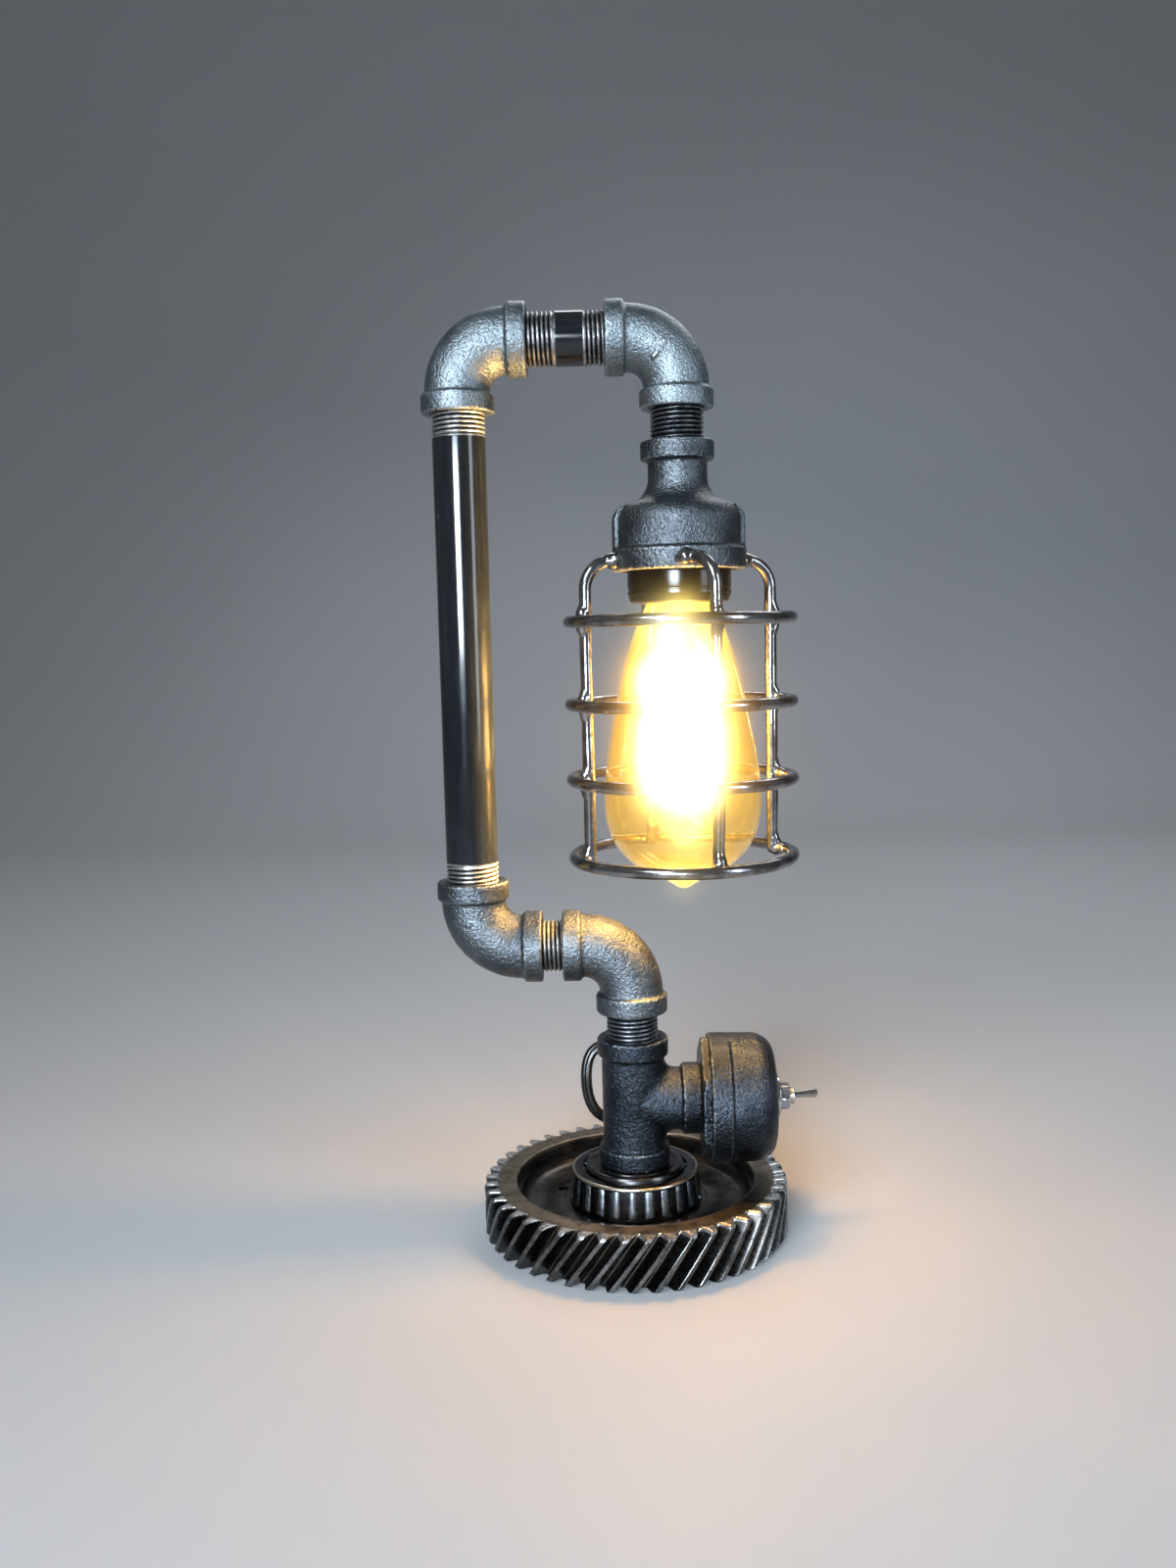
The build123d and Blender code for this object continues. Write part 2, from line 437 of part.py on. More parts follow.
# the front rod springs from the middle of the band's front and runs aside to its place
front, _ = sweep_round([(root_r * cos(radians(FRONT_TURN)), root_r * sin(radians(FRONT_TURN)), root_z), (ROD_C, 0, root_z), (ROD_C, 0, ROD_END_Z)], 11.6, WIRE_R, "front rod")
for z in RING_Z:
    front = front + Pos(RING_C - WIRE_R - 0.2, 0, z) * Sphere(3.7)
front = front + Rot(0, 0, FRONT_TURN) * Pos(27.9, 0, root_z) * Sphere(4.3) - cyl(27.03, RED_BOT - 10, RED_BOT + 30)
for k in range(4):
    parts["cage_rod_" + names[k]] = H * Rot(0, 0, CAGE_TURN + 90 * k) * (front if k == 3 else rod)
for i, z in enumerate(RING_Z):
    parts["cage_ring_%d" % (i + 1)] = Pos(HEAD_X, 0, z) * Torus(RING_C, WIRE_R)

# ---- wires inside the pipes ---------------------------------------------------------------------------
def wire_pair(points, radii, off, r=1.05, name="wire"):
    got = []
    for sgn in (-1, 1):
        p = [(x + sgn * off[0], y + sgn * off[1], z + sgn * off[2]) for x, y, z in points]
        b, _ = sweep_round(p, radii, r, name)
        got.append(b)
    return got


wb = wire_pair([(0, 8.3, BUSH_Z), (0, 0.0, BUSH_Z), (0, 0, 104.0)], 4.5, (1.4, 0, 0), name="wires_base")
ws = wire_pair([(40.2, 0, SWITCH_Z), (6.0, 0, SWITCH_Z), (6.0, 0, 63.5)], 4.5, (0, 3.0, 0), name="wires_switch")
parts["wires_base"] = Compound(children=[s for w in wb for s in solids_of(w)])
parts["wires_switch"] = Compound(children=[s for w in ws for s in solids_of(w)])
wf = wire_pair([(0, 0, 107.0), (0, 0, LOW_Z), (RISER_X, 0, LOW_Z), (RISER_X, 0, TOP_Z), (8.5, 0, TOP_Z)], [12.0, 16.0, 16.0], (0, 1.4, 0), name="wires_frame")
parts["wires_frame"] = Compound(children=[s for w in wf for s in solids_of(w)])
wh = wire_pair([(11.0, 0, TOP_Z), (HEAD_X, 0, TOP_Z), (HEAD_X, 0, 299.6)], 10.5, (0, 1.4, 0), name="wires_head")
parts["wires_head"] = Compound(children=[s for w in wh for s in solids_of(w)])

# ---- cord, bush, coil and plug -----------------------------------------------------------------------------
cb = lathe((0, 9.0), (3.1, 9.0), (3.1, 13.15), (4.6, 13.15), ((4.95, 13.6), (4.6, 14.3)), (3.7, 15.2), (2.75, 31.0), (0, 31.0))
parts["cord_bush"] = Pos(0, 0, BUSH_Z) * Rot(-90, 0, 0) * cb
r0 = CORD_D / 2
LEAD_X = COIL_C[0] - 31.2
route = [(0.0, 31.0, BUSH_Z), (0.0, 45.0, BUSH_Z), (-20.4, 44.0, 65.0), (-20.6, 39.0, 37.0), (-6.0, 41.0, 28.6), (LEAD_X, 70.0, 29.0), (LEAD_X, 91.0, r0 + 0.05), (LEAD_X, COIL_C[1], r0 + 0.05)]
route_r = [6.5, 8.5, 8.5, 9.0, 20.0, 19.0]
lead, lead_len = sweep_round(route, route_r, r0, "cord_lead")
print("cord lead length", round(lead_len, 1))
parts["cord_lead"] = lead
cord_nodes.append("cord_lead")
COIL_W, COIL_H = 17.9, 13.5
c_in, c_out = COIL_MID_R - COIL_W / 2, COIL_MID_R + COIL_W / 2
coil = lathe((c_in + 2.1, 0.02), (c_out - 2.1, 0.02), ((c_out - 0.6, 0.63), (c_out, 2.1)), (c_out, COIL_H - 2.1), ((c_out - 0.6, COIL_H - 0.6), (c_out - 2.1, COIL_H)),
             (c_in + 2.1, COIL_H), ((c_in + 0.6, COIL_H - 0.6), (c_in, COIL_H - 2.1)), (c_in, 2.1), ((c_in + 0.6, 0.63), (c_in + 2.1, 0.02)))
coil = Pos(COIL_C[0], COIL_C[1], 0) * coil
coil = coil - Pos(LEAD_X, COIL_C[1] - 16.0, 1.9) * Box(2 * r0 + 0.8, 32.0, 6.0)
parts["cord_coil"] = coil
cord_nodes.append("cord_coil")
# the plug lies on the coil, pins towards -Y
PLUG_X, PLUG_Y, PLUG_Z = COIL_C[0] + 12.7, COIL_C[1] + 7.5, COIL_H + 6.87
pb = Box(24.0, 35.0, 13.6)
pb = fillet(pb.edges().filter_by(Axis.Y), 5.0)
plug = Pos(PLUG_X, PLUG_Y - 26.5, PLUG_Z) * pb
plug = plug + Pos(PLUG_X, PLUG_Y - 4.7, PLUG_Z) * Rot(90, 0, 0) * Cone(3.1, 5.6, 9.4)
parts["plug"] = plug
pins = []
PIN_Y0 = PLUG_Y - 44.0
for dx in (-8.93, 8.93):
    pins.append(Pos(PLUG_X + dx, PIN_Y0 - 9.5, PLUG_Z) * Rot(90, 0, 0) * Cylinder(2.0, 19.0))
parts["plug_pins"] = Compound(children=[s for q in pins for s in solids_of(q)])
cord_nodes += ["plug", "plug_pins"]

# ---- write ------------------------------------------------------------------------------------------------------
lo = [1e9] * 3
hi = [-1e9] * 3
for name, shape in parts.items():
    if name in cord_nodes:
        continue
    bb = shape.bounding_box()
    for k, (a, b) in enumerate(((bb.min.X, bb.max.X), (bb.min.Y, bb.max.Y), (bb.min.Z, bb.max.Z))):
        lo[k], hi[k] = min(lo[k], a), max(hi[k], b)
print("box without the cord", [round(v, 2) for v in lo], [round(v, 2) for v in hi])
SHIFT_X = 0.9
print("middle in X before the shift", round((lo[0] + hi[0]) / 2, 3), "shift used", SHIFT_X)

os.makedirs("parts", exist_ok=True)
for f in os.listdir("parts"):
    if f.endswith(".step"):
        os.remove(os.path.join("parts", f))
for name, shape in parts.items():
    ss = solids_of(shape)
    moved = [Pos(SHIFT_X, 0, 0) * s for s in ss]
    out = moved[0] if len(moved) == 1 else Compound(children=moved)
    out.label = name
    export_step(out, "parts/%s.step" % name)
    print("%-20s solids %2d  volume %.1f" % (name, len(ss), sum(s.volume for s in ss)))
print(len(parts), "nodes")
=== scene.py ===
import json
import math
import bpy
import bmesh
import numpy as np
from mathutils import Matrix, Vector

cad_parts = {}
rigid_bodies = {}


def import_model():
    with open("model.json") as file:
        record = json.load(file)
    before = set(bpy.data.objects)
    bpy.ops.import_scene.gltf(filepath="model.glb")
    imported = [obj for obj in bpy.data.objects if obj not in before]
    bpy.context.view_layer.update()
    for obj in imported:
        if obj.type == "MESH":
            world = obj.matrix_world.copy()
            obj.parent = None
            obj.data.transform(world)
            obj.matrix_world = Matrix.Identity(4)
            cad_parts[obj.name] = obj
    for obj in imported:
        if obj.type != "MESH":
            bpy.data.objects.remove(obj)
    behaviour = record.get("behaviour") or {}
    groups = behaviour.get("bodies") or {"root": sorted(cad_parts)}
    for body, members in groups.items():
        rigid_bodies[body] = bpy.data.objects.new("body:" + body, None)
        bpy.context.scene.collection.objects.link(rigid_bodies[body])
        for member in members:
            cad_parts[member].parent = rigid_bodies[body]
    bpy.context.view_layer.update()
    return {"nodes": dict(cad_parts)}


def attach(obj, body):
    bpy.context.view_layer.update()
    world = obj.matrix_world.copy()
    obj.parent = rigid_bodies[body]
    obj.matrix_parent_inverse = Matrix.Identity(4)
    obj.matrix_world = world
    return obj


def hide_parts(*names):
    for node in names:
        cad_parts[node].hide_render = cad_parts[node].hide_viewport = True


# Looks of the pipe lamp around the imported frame. Lengths below are in millimetres and
# become metres when a mesh or curve is made.

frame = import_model()
NODES = frame["nodes"]

MM = 0.001
SX = 0.9
HX, RX = 22.5 + SX, -64.6 + SX
TEE_Z, LOW_Z, TOP_Z = 54.7, 120.9, 365.5
RED_BOT = 273.7
C2F, ENG = 28.2, 13.0
PITCH = 1.814
PIPE_R = 10.67
scene = bpy.context.scene
rng = np.random.default_rng(11)


# ---------------------------------------------------------------- camera
def make_camera():
    yaw, pitch, roll = math.radians(-0.691), math.radians(6.236), math.radians(-1.335)
    fwd = Vector((math.sin(yaw) * math.cos(pitch), math.cos(yaw) * math.cos(pitch), -math.sin(pitch)))
    right = Vector((math.cos(yaw), -math.sin(yaw), 0))
    up = right.cross(fwd)
    r = right * math.cos(roll) + up * math.sin(roll)
    u = -right * math.sin(roll) + up * math.cos(roll)
    cam = bpy.data.cameras.new("camera")
    ob = bpy.data.objects.new("camera", cam)
    scene.collection.objects.link(ob)
    cam.sensor_fit = "VERTICAL"
    cam.sensor_height = 36.0
    cam.lens = 1394.22 / 1600 * 36.0
    cam.clip_start, cam.clip_end = 0.02, 30
    m = Matrix.Identity(4)
    for i, c in enumerate((r, u, -fwd)):
        for k in range(3):
            m[k][i] = c[k]
    m.translation = Vector((-9.443 + SX, -556.838, 248.968)) * MM
    ob.matrix_world = m
    scene.camera = ob


make_camera()


# ---------------------------------------------------------------- mesh helpers
def link(ob):
    scene.collection.objects.link(ob)
    return ob


def finish_mesh(ob, sharp=35, weld=1e-6, flip=False):
    me = ob.data
    bm = bmesh.new()
    bm.from_mesh(me)
    bmesh.ops.remove_doubles(bm, verts=bm.verts, dist=weld)
    bmesh.ops.dissolve_degenerate(bm, edges=bm.edges, dist=1e-7)
    bmesh.ops.recalc_face_normals(bm, faces=bm.faces)
    bm.to_mesh(me)
    bm.free()
    me.shade_smooth()
    if sharp:
        me.set_sharp_from_angle(angle=math.radians(sharp))
    return ob


def mesh_obj(name, verts, faces, sharp=35, weld=1e-6):
    me = bpy.data.meshes.new(name)
    me.from_pydata((np.asarray(verts, float) * MM).tolist(), [], [list(map(int, f)) for f in faces])
    me.update()
    return finish_mesh(link(bpy.data.objects.new(name, me)), sharp, weld)


def grid_faces(nu, nv, cu=True, cv=True, base=0):
    iu = np.arange(nu if cu else nu - 1)
    iv = np.arange(nv if cv else nv - 1)
    U, W = np.meshgrid(iu, iv)
    a = W * nu + U
    b = W * nu + (U + 1) % nu
    c = ((W + 1) % nv) * nu + (U + 1) % nu
    d = ((W + 1) % nv) * nu + U
    return (np.stack([a, b, c, d], -1).reshape(-1, 4) + base)


def round_profile(pts, n=4):
    """Closed (r, z[, radius]) outline with its corners rounded."""
    out = []
    m = len(pts)
    for i in range(m):
        p = np.array(pts[i][:2], float)
        rad = pts[i][2] if len(pts[i]) > 2 else 0
        if rad <= 0:
            out.append(p)
            continue
        a, b = np.array(pts[i - 1][:2], float), np.array(pts[(i + 1) % m][:2], float)
        u, v = (a - p) / np.linalg.norm(a - p), (b - p) / np.linalg.norm(b - p)
        ang = math.acos(max(-1, min(1, float(u @ v))))
        t = min(rad / math.tan(ang / 2), 0.48 * np.linalg.norm(a - p), 0.48 * np.linalg.norm(b - p))
        s, e = p + u * t, p + v * t
        for k in range(n + 1):
            w = k / n
            out.append((1 - w) ** 2 * s + 2 * w * (1 - w) * p + w * w * e)
    return [(float(q[0]), float(q[1])) for q in out]


def place(V, axis="Z", at=(0, 0, 0)):
    V = np.asarray(V, float)
    if axis == "X":
        V = np.stack([V[:, 2], V[:, 1], -V[:, 0]], 1)
    elif axis == "Y":
        V = np.stack([V[:, 0], V[:, 2], -V[:, 1]], 1)
    return V + np.array(at, float)


def lathe(name, prof, n=96, axis="Z", at=(0, 0, 0), sharp=35, closed=True, arc_n=4, wob=0.0):
    pts = round_profile(prof, arc_n) if closed else [(p[0], p[1]) for p in prof]
    th = np.linspace(0, 2 * math.pi, n, endpoint=False)
    R = np.array([p[0] for p in pts])[:, None]
    Z = np.array([p[1] for p in pts])[:, None]
    RR = R * (1 + wob * np.sin(3 * th)[None, :])
    V = np.stack([RR * np.cos(th), RR * np.sin(th), Z + 0 * th], -1).reshape(-1, 3)
    F = grid_faces(n, len(pts), True, closed)
    return mesh_obj(name, place(V, axis, at), F, sharp, 2e-7)


def frames_along(P, closed=False):
    P = np.asarray(P, float)
    T = np.gradient(P, axis=0)
    if closed:
        T = np.roll(P, -1, 0) - np.roll(P, 1, 0)
    T /= np.linalg.norm(T, axis=1)[:, None]
    n0 = np.cross(T[0], [0, 0, 1.0])
    if np.linalg.norm(n0) < 0.2:
        n0 = np.cross(T[0], [0, 1.0, 0])
    n0 /= np.linalg.norm(n0)
    N = [n0]
    for i in range(1, len(P)):
        v = N[-1] - T[i] * (N[-1] @ T[i])
        N.append(v / np.linalg.norm(v))
    N = np.array(N)
    if closed:
        v = N[-1] - T[0] * (N[-1] @ T[0])
        twist = math.atan2(np.cross(v, N[0]) @ T[0], v @ N[0])
        a = np.linspace(0, twist, len(P))[:, None]
        B = np.cross(T, N)
        N = N * np.cos(a) + B * np.sin(a)
    return T, N, np.cross(T, N)


def tube_mesh(name, P, R, seg=24, closed=False, sharp=60, section=None, roll=None):
    """A tube along P (mm). R is a number or one per point. Ends are rounded off."""
    P = np.asarray(P, float)
    R = np.broadcast_to(np.asarray(R, float), (len(P),)).copy()
    T, N, B = frames_along(P, closed)
    if roll is not None:
        c, s = np.cos(roll)[:, None], np.sin(roll)[:, None]
        N, B = N * c + B * s, -N * s + B * c
    th = np.linspace(0, 2 * math.pi, seg, endpoint=False)
    if section is None:
        sec = np.stack([np.cos(th), np.sin(th)], 1)
    else:
        sec = np.asarray(section, float)
        seg = len(sec)
    rings, ctr = [], []
    if not closed:
        for k in (0.02, 0.35, 0.7, 0.92):
            a = k * math.pi / 2
            ctr.append(P[0] - T[0] * R[0] * math.cos(a) * 0.999)
            rings.append(ctr[-1] + (sec[:, :1] * N[0] + sec[:, 1:] * B[0]) * R[0] * math.sin(a))
    for i in range(len(P)):
        rings.append(P[i] + (sec[:, :1] * N[i] + sec[:, 1:] * B[i]) * R[i])
    if not closed:
        for k in (0.92, 0.7, 0.35, 0.02):
            a = k * math.pi / 2
            c = P[-1] + T[-1] * R[-1] * math.cos(a) * 0.999
            rings.append(c + (sec[:, :1] * N[-1] + sec[:, 1:] * B[-1]) * R[-1] * math.sin(a))
    V = np.concatenate(rings)
    F = [list(f) for f in grid_faces(seg, len(rings), True, closed)]
    if not closed:
        F.append(list(range(seg))[::-1])
        F.append([(len(rings) - 1) * seg + k for k in range(seg)])
    return mesh_obj(name, V, F, sharp)


def fillet_path(pts, radii, step=1.0):
    """Straight runs joined by arcs, as dense points: for bent wire, not for cords."""
    P = [np.array(p, float) for p in pts]
    out = [P[0]]
    for i in range(1, len(P) - 1):
        a, p, b = P[i - 1], P[i], P[i + 1]
        u, v = (a - p) / np.linalg.norm(a - p), (b - p) / np.linalg.norm(b - p)
        ang = math.acos(max(-1, min(1, float(u @ v))))
        r = radii[i - 1]
        t = r / math.tan(ang / 2)
        s, e = p + u * t, p + v * t
        w = (u + v) / np.linalg.norm(u + v)
        c = p + w * (r / math.sin(ang / 2))
        x = (s - c) / r
        y = (e - c) / r
        tot = math.pi - ang
        nrm = y - x * (x @ y)
        nrm /= np.linalg.norm(nrm)
        m = max(4, int(tot * r / step))
        out += [c + r * (x * math.cos(tot * k / m) + nrm * math.sin(tot * k / m)) for k in range(m + 1)]
    out.append(P[-1])
    dense = [out[0]]
    for q in out[1:]:
        d = np.linalg.norm(q - dense[-1])
        m = max(1, int(d / step))
        last = dense[-1]
        dense += [last + (q - last) * (k + 1) / m for k in range(m)]
    return np.array(dense)


def value_noise(P, scale, seed=0):
    """Smooth noise in -1..1 at points P (mm), feature size about scale mm."""
    q = np.asarray(P, float) / scale + 1000.0
    i = np.floor(q).astype(np.int64)
    f = q - i
    f = f * f * f * (f * (f * 6 - 15) + 10)
    tot = 0

    def h(a, b, c):
        n = (a * 374761393 + b * 668265263 + c * 1274126177 + seed * 974634777) & 0xFFFFFFFF
        n = ((n ^ (n >> 13)) * 1274126177) & 0xFFFFFFFF
        return ((n ^ (n >> 16)) & 0xFFFF) / 32767.5 - 1
    for dx in (0, 1):
        for dy in (0, 1):
            for dz in (0, 1):
                w = (f[:, 0] if dx else 1 - f[:, 0]) * (f[:, 1] if dy else 1 - f[:, 1]) * (f[:, 2] if dz else 1 - f[:, 2])
                tot = tot + w * h(i[:, 0] + dx, i[:, 1] + dy, i[:, 2] + dz)
    return tot


def coords(me):
    co = np.zeros(len(me.vertices) * 3, np.float32)
    me.vertices.foreach_get("co", co)
    return co.reshape(-1, 3).astype(float)


def vnormals(me):
    no = np.zeros(len(me.vertices) * 3, np.float32)
    me.vertices.foreach_get("normal", no)
    return no.reshape(-1, 3).astype(float)


def set_coords(me, co):
    me.vertices.foreach_set("co", np.asarray(co, np.float32).ravel())
    me.update()


def apply_modifiers(ob):
    dg = bpy.context.evaluated_depsgraph_get()
    me = bpy.data.meshes.new_from_object(ob.evaluated_get(dg))
    old = ob.data
    ob.modifiers.clear()
    ob.data = me
    me.name = ob.name
    if old.users == 0:
        bpy.data.meshes.remove(old)
    return ob


def copy_node(node, name):
    me = NODES[node].data.copy()
    me.materials.clear()
    ob = link(bpy.data.objects.new(name, me))
    bm = bmesh.new()
    bm.from_mesh(me)
    bmesh.ops.remove_doubles(bm, verts=bm.verts, dist=2e-6)
    bmesh.ops.recalc_face_normals(bm, faces=bm.faces)
    bm.to_mesh(me)
    bm.free()
    return ob


def remeshed(ob, voxel, smooth=4, factor=0.5):
    m = ob.modifiers.new("r", "REMESH")
    m.mode = "VOXEL"
    m.voxel_size = voxel * MM
    m.adaptivity = 0
    if smooth:
        s = ob.modifiers.new("s", "SMOOTH")
        s.iterations = smooth
        s.factor = factor
    return apply_modifiers(ob)


def casting(node, body, mat, voxel=0.55, seed=1, smooth=5, amp=1.0):
    """A sand casting: the CAD shape with softened edges and an uneven skin."""
    ob = remeshed(copy_node(node, node + "_cast"), voxel, smooth)
    me = ob.data
    co, no = coords(me) / MM, vnormals(me)
    d = 0.05 * value_noise(co, 9.0, seed) + 0.020 * value_noise(co, 2.6, seed + 1) + 0.042 * value_noise(co, 1.4, seed + 2)
    set_coords(me, (co + no * (d * amp)[:, None]) * MM)
    me.shade_smooth()
    me.materials.append(mat)
    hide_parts(node)
    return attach(ob, body)


def bevelled(node, body, mat, width=0.18, seg=2, angle=32, name=None):
    ob = copy_node(node, name or node + "_fine")
    bm = bmesh.new()
    bm.from_mesh(ob.data)
    bmesh.ops.dissolve_limit(bm, angle_limit=math.radians(1.2), use_dissolve_boundaries=False, verts=bm.verts, edges=bm.edges)
    bm.to_mesh(ob.data)
    bm.free()
    b = ob.modifiers.new("b", "BEVEL")
    b.width = width * MM
    b.segments = seg
    b.limit_method = "ANGLE"
    b.angle_limit = math.radians(angle)
    b.use_clamp_overlap = True
    apply_modifiers(ob)
    me = ob.data
    me.shade_smooth()
    me.set_sharp_from_angle(angle=math.radians(28))
    me.materials.append(mat)
    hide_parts(node)
    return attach(ob, body)


def put(ob, body, mat, slot, *nodes):
    ob.data.materials.clear()
    for m in (mat if isinstance(mat, (list, tuple)) else [mat]):
        ob.data.materials.append(m)
    if nodes:
        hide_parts(*nodes)
    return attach(ob, body)


# ---------------------------------------------------------------- materials
class Mat:
    """Short calls for building a node material around one Principled shader."""

    def __init__(self, name, **sockets):
        self.m = bpy.data.materials.new(name)
        self.m.use_nodes = True
        self.nt = self.m.node_tree
        self.nt.nodes.clear()
        self.out = self.nt.nodes.new("ShaderNodeOutputMaterial")
        self.b = self.nt.nodes.new("ShaderNodeBsdfPrincipled")
        self.nt.links.new(self.b.outputs[0], self.out.inputs[0])
        for k, v in sockets.items():
            self.set(k, v)
        self.tc = self.nt.nodes.new("ShaderNodeTexCoord")
        self.pos = self.tc.outputs["Object"]

    def set(self, k, v):
        s = self.b.inputs[k.replace("_", " ")]
        if isinstance(v, bpy.types.NodeSocket):
            self.nt.links.new(v, s)
        elif isinstance(v, (tuple, list)) and len(v) == 3 and s.type == "RGBA":
            s.default_value = (*v, 1)
        else:
            s.default_value = v

    def _in(self, sock, v):
        if isinstance(v, bpy.types.NodeSocket):
            self.nt.links.new(v, sock)
        elif isinstance(v, (tuple, list)) and sock.type == "RGBA" and len(v) == 3:
            sock.default_value = (*v, 1)
        else:
            sock.default_value = v

    def noise(self, scale, detail=3.0, rough=0.5, dist=0.0, vec=None, out="Fac"):
        """scale is the feature size in mm."""
        n = self.nt.nodes.new("ShaderNodeTexNoise")
        n.inputs["Scale"].default_value = 1.0 / (scale * MM)
        n.inputs["Detail"].default_value = detail
        n.inputs["Roughness"].default_value = rough
        n.inputs["Distortion"].default_value = dist
        self.nt.links.new(vec or self.pos, n.inputs["Vector"])
        return n.outputs[0] if out == "Fac" else n.outputs[1]

    def voronoi(self, scale, feature="F1", vec=None, rand=1.0):
        n = self.nt.nodes.new("ShaderNodeTexVoronoi")
        n.feature = feature
        n.inputs["Scale"].default_value = 1.0 / (scale * MM)
        n.inputs["Randomness"].default_value = rand
        self.nt.links.new(vec or self.pos, n.inputs["Vector"])
        return n.outputs[0]

    def mapping(self, scale=(1, 1, 1), rot=(0, 0, 0), loc=(0, 0, 0), vec=None):
        n = self.nt.nodes.new("ShaderNodeMapping")
        n.inputs["Scale"].default_value = scale
        n.inputs["Rotation"].default_value = rot
        n.inputs["Location"].default_value = loc
        self.nt.links.new(vec or self.pos, n.inputs["Vector"])
        return n.outputs[0]

    def ramp(self, fac, *stops, interp="LINEAR"):
        n = self.nt.nodes.new("ShaderNodeValToRGB")
        n.color_ramp.interpolation = interp
        el = n.color_ramp.elements
        while len(el) < len(stops):
            el.new(0.5)
        for e, (p, c) in zip(el, stops):
            e.position = p
            e.color = (c, c, c, 1) if isinstance(c, (int, float)) else (*c, 1)
        self.nt.links.new(fac, n.inputs[0])
        return n.outputs[0]

    def mix(self, fac, a, b, blend="MIX"):
        n = self.nt.nodes.new("ShaderNodeMix")
        n.data_type = "RGBA"
        n.blend_type = blend
        self._in(n.inputs[0], fac)
        self._in(n.inputs[6], a)
        self._in(n.inputs[7], b)
        return n.outputs[2]

    def math(self, op, a, b=0.0, c=0.0, clamp=False):
        n = self.nt.nodes.new("ShaderNodeMath")
        n.operation = op
        n.use_clamp = clamp
        self._in(n.inputs[0], a)
        self._in(n.inputs[1], b)
        self._in(n.inputs[2], c)
        return n.outputs[0]

    def between(self, v, lo, hi, a=0.0, b=1.0):
        n = self.nt.nodes.new("ShaderNodeMapRange")
        n.interpolation_type = "SMOOTHSTEP"
        self._in(n.inputs[0], v)
        for i, x in enumerate((lo, hi, a, b)):
            n.inputs[i + 1].default_value = x
        return n.outputs[0]

    def xyz(self):
        n = self.nt.nodes.new("ShaderNodeSeparateXYZ")
        self.nt.links.new(self.pos, n.inputs[0])
        return n.outputs

    def radius(self, cx, cy, plane="XY"):
        x, y, z = self.xyz()
        a, b = {"XY": (x, y), "YZ": (y, z)}[plane]
        dx = self.math("SUBTRACT", a, cx * MM)
        dy = self.math("SUBTRACT", b, cy * MM)
        return self.math("SQRT", self.math("ADD", self.math("MULTIPLY", dx, dx), self.math("MULTIPLY", dy, dy)))

    def pointiness(self):
        return self.nt.nodes.new("ShaderNodeNewGeometry").outputs["Pointiness"]

    def bump(self, height, strength, dist, normal=None):
        n = self.nt.nodes.new("ShaderNodeBump")
        n.inputs["Strength"].default_value = strength
        n.inputs["Distance"].default_value = dist * MM
        self.nt.links.new(height, n.inputs["Height"])
        if normal is not None:
            self.nt.links.new(normal, n.inputs["Normal"])
        return n.outputs[0]


def cast_iron(name, dark, light, rough=(0.40, 0.52), bump=0.8, edge_wear_highlight=(0.30, 0.33, 0.36), metal=1.0):
    m = Mat(name, Metallic=metal)
    grain = m.noise(1.35, 2.0, 0.55)
    pits = m.noise(1.0, 2.0, 0.6, 0.2)
    fine = m.noise(0.7, 2.0, 0.6)
    broad = m.noise(20.0, 3.0, 0.5)
    peel = m.voronoi(1.5, "SMOOTH_F1")
    col = m.mix(m.between(broad, 0.35, 0.68), dark, light)
    col = m.mix(m.between(pits, 0.26, 0.42, 0.85, 0.0), col, tuple(c * 0.35 for c in dark))
    # sharp edges are lightened with the edge colour: partly rubbed wear, partly a painted highlight along the edges
    wear_and_highlight_mask = m.between(m.pointiness(), 0.512, 0.55)
    wear_and_highlight_mask = m.math("MULTIPLY", wear_and_highlight_mask, m.between(grain, 0.36, 0.58))
    col = m.mix(wear_and_highlight_mask, col, edge_wear_highlight)
    m.set("Base Color", col)
    r = m.between(m.noise(6.0, 3.0, 0.6), 0.3, 0.7, rough[0], rough[1])
    r = m.math("ADD", r, m.math("MULTIPLY", m.math("SUBTRACT", fine, 0.5), 0.22), clamp=True)
    m.set("Roughness", r)
    b1 = m.bump(peel, bump * 0.5, 0.20)
    b2 = m.bump(grain, bump, 0.62, b1)
    b3 = m.bump(pits, bump, 0.66, b2)
    b4 = m.bump(fine, bump * 0.8, 0.40, b3)
    m.set("Normal", b4)
    return m.m


def steel(name, base, rough=0.28, var=0.1, grain=0.35, bump=0.12, tint=None, metal=1.0, stretch=None, oil=None, scale=1.0):
    m = Mat(name, Metallic=metal)
    vec = m.mapping(stretch) if stretch else None
    n1 = m.noise(9.0 * scale, 4.0, 0.6)
    n2 = m.noise(grain * 1.0, 3.0, 0.6, vec=vec)
    col = m.mix(m.between(n1, 0.35, 0.65), tuple(c * 0.72 for c in base), base)
    if tint:
        col = m.mix(m.between(m.noise(6.0 * scale, 2.0, 0.5, 0.6), 0.55, 0.72, 0.0, 0.8), col, tint)
    if oil:
        col = m.mix(m.between(m.noise(4.0 * scale, 5.0, 0.65), 0.45, 0.62, 0.0, 0.9), col, oil)
    m.set("Base Color", col)
    r = m.math("ADD", m.between(n1, 0.3, 0.7, rough - var, rough + var), m.math("MULTIPLY", m.math("SUBTRACT", n2, 0.5), 0.22), clamp=True)
    m.set("Roughness", r)
    m.set("Normal", m.bump(n2, bump, 0.06, m.bump(n1, 0.05, 0.3)))
    return m.m


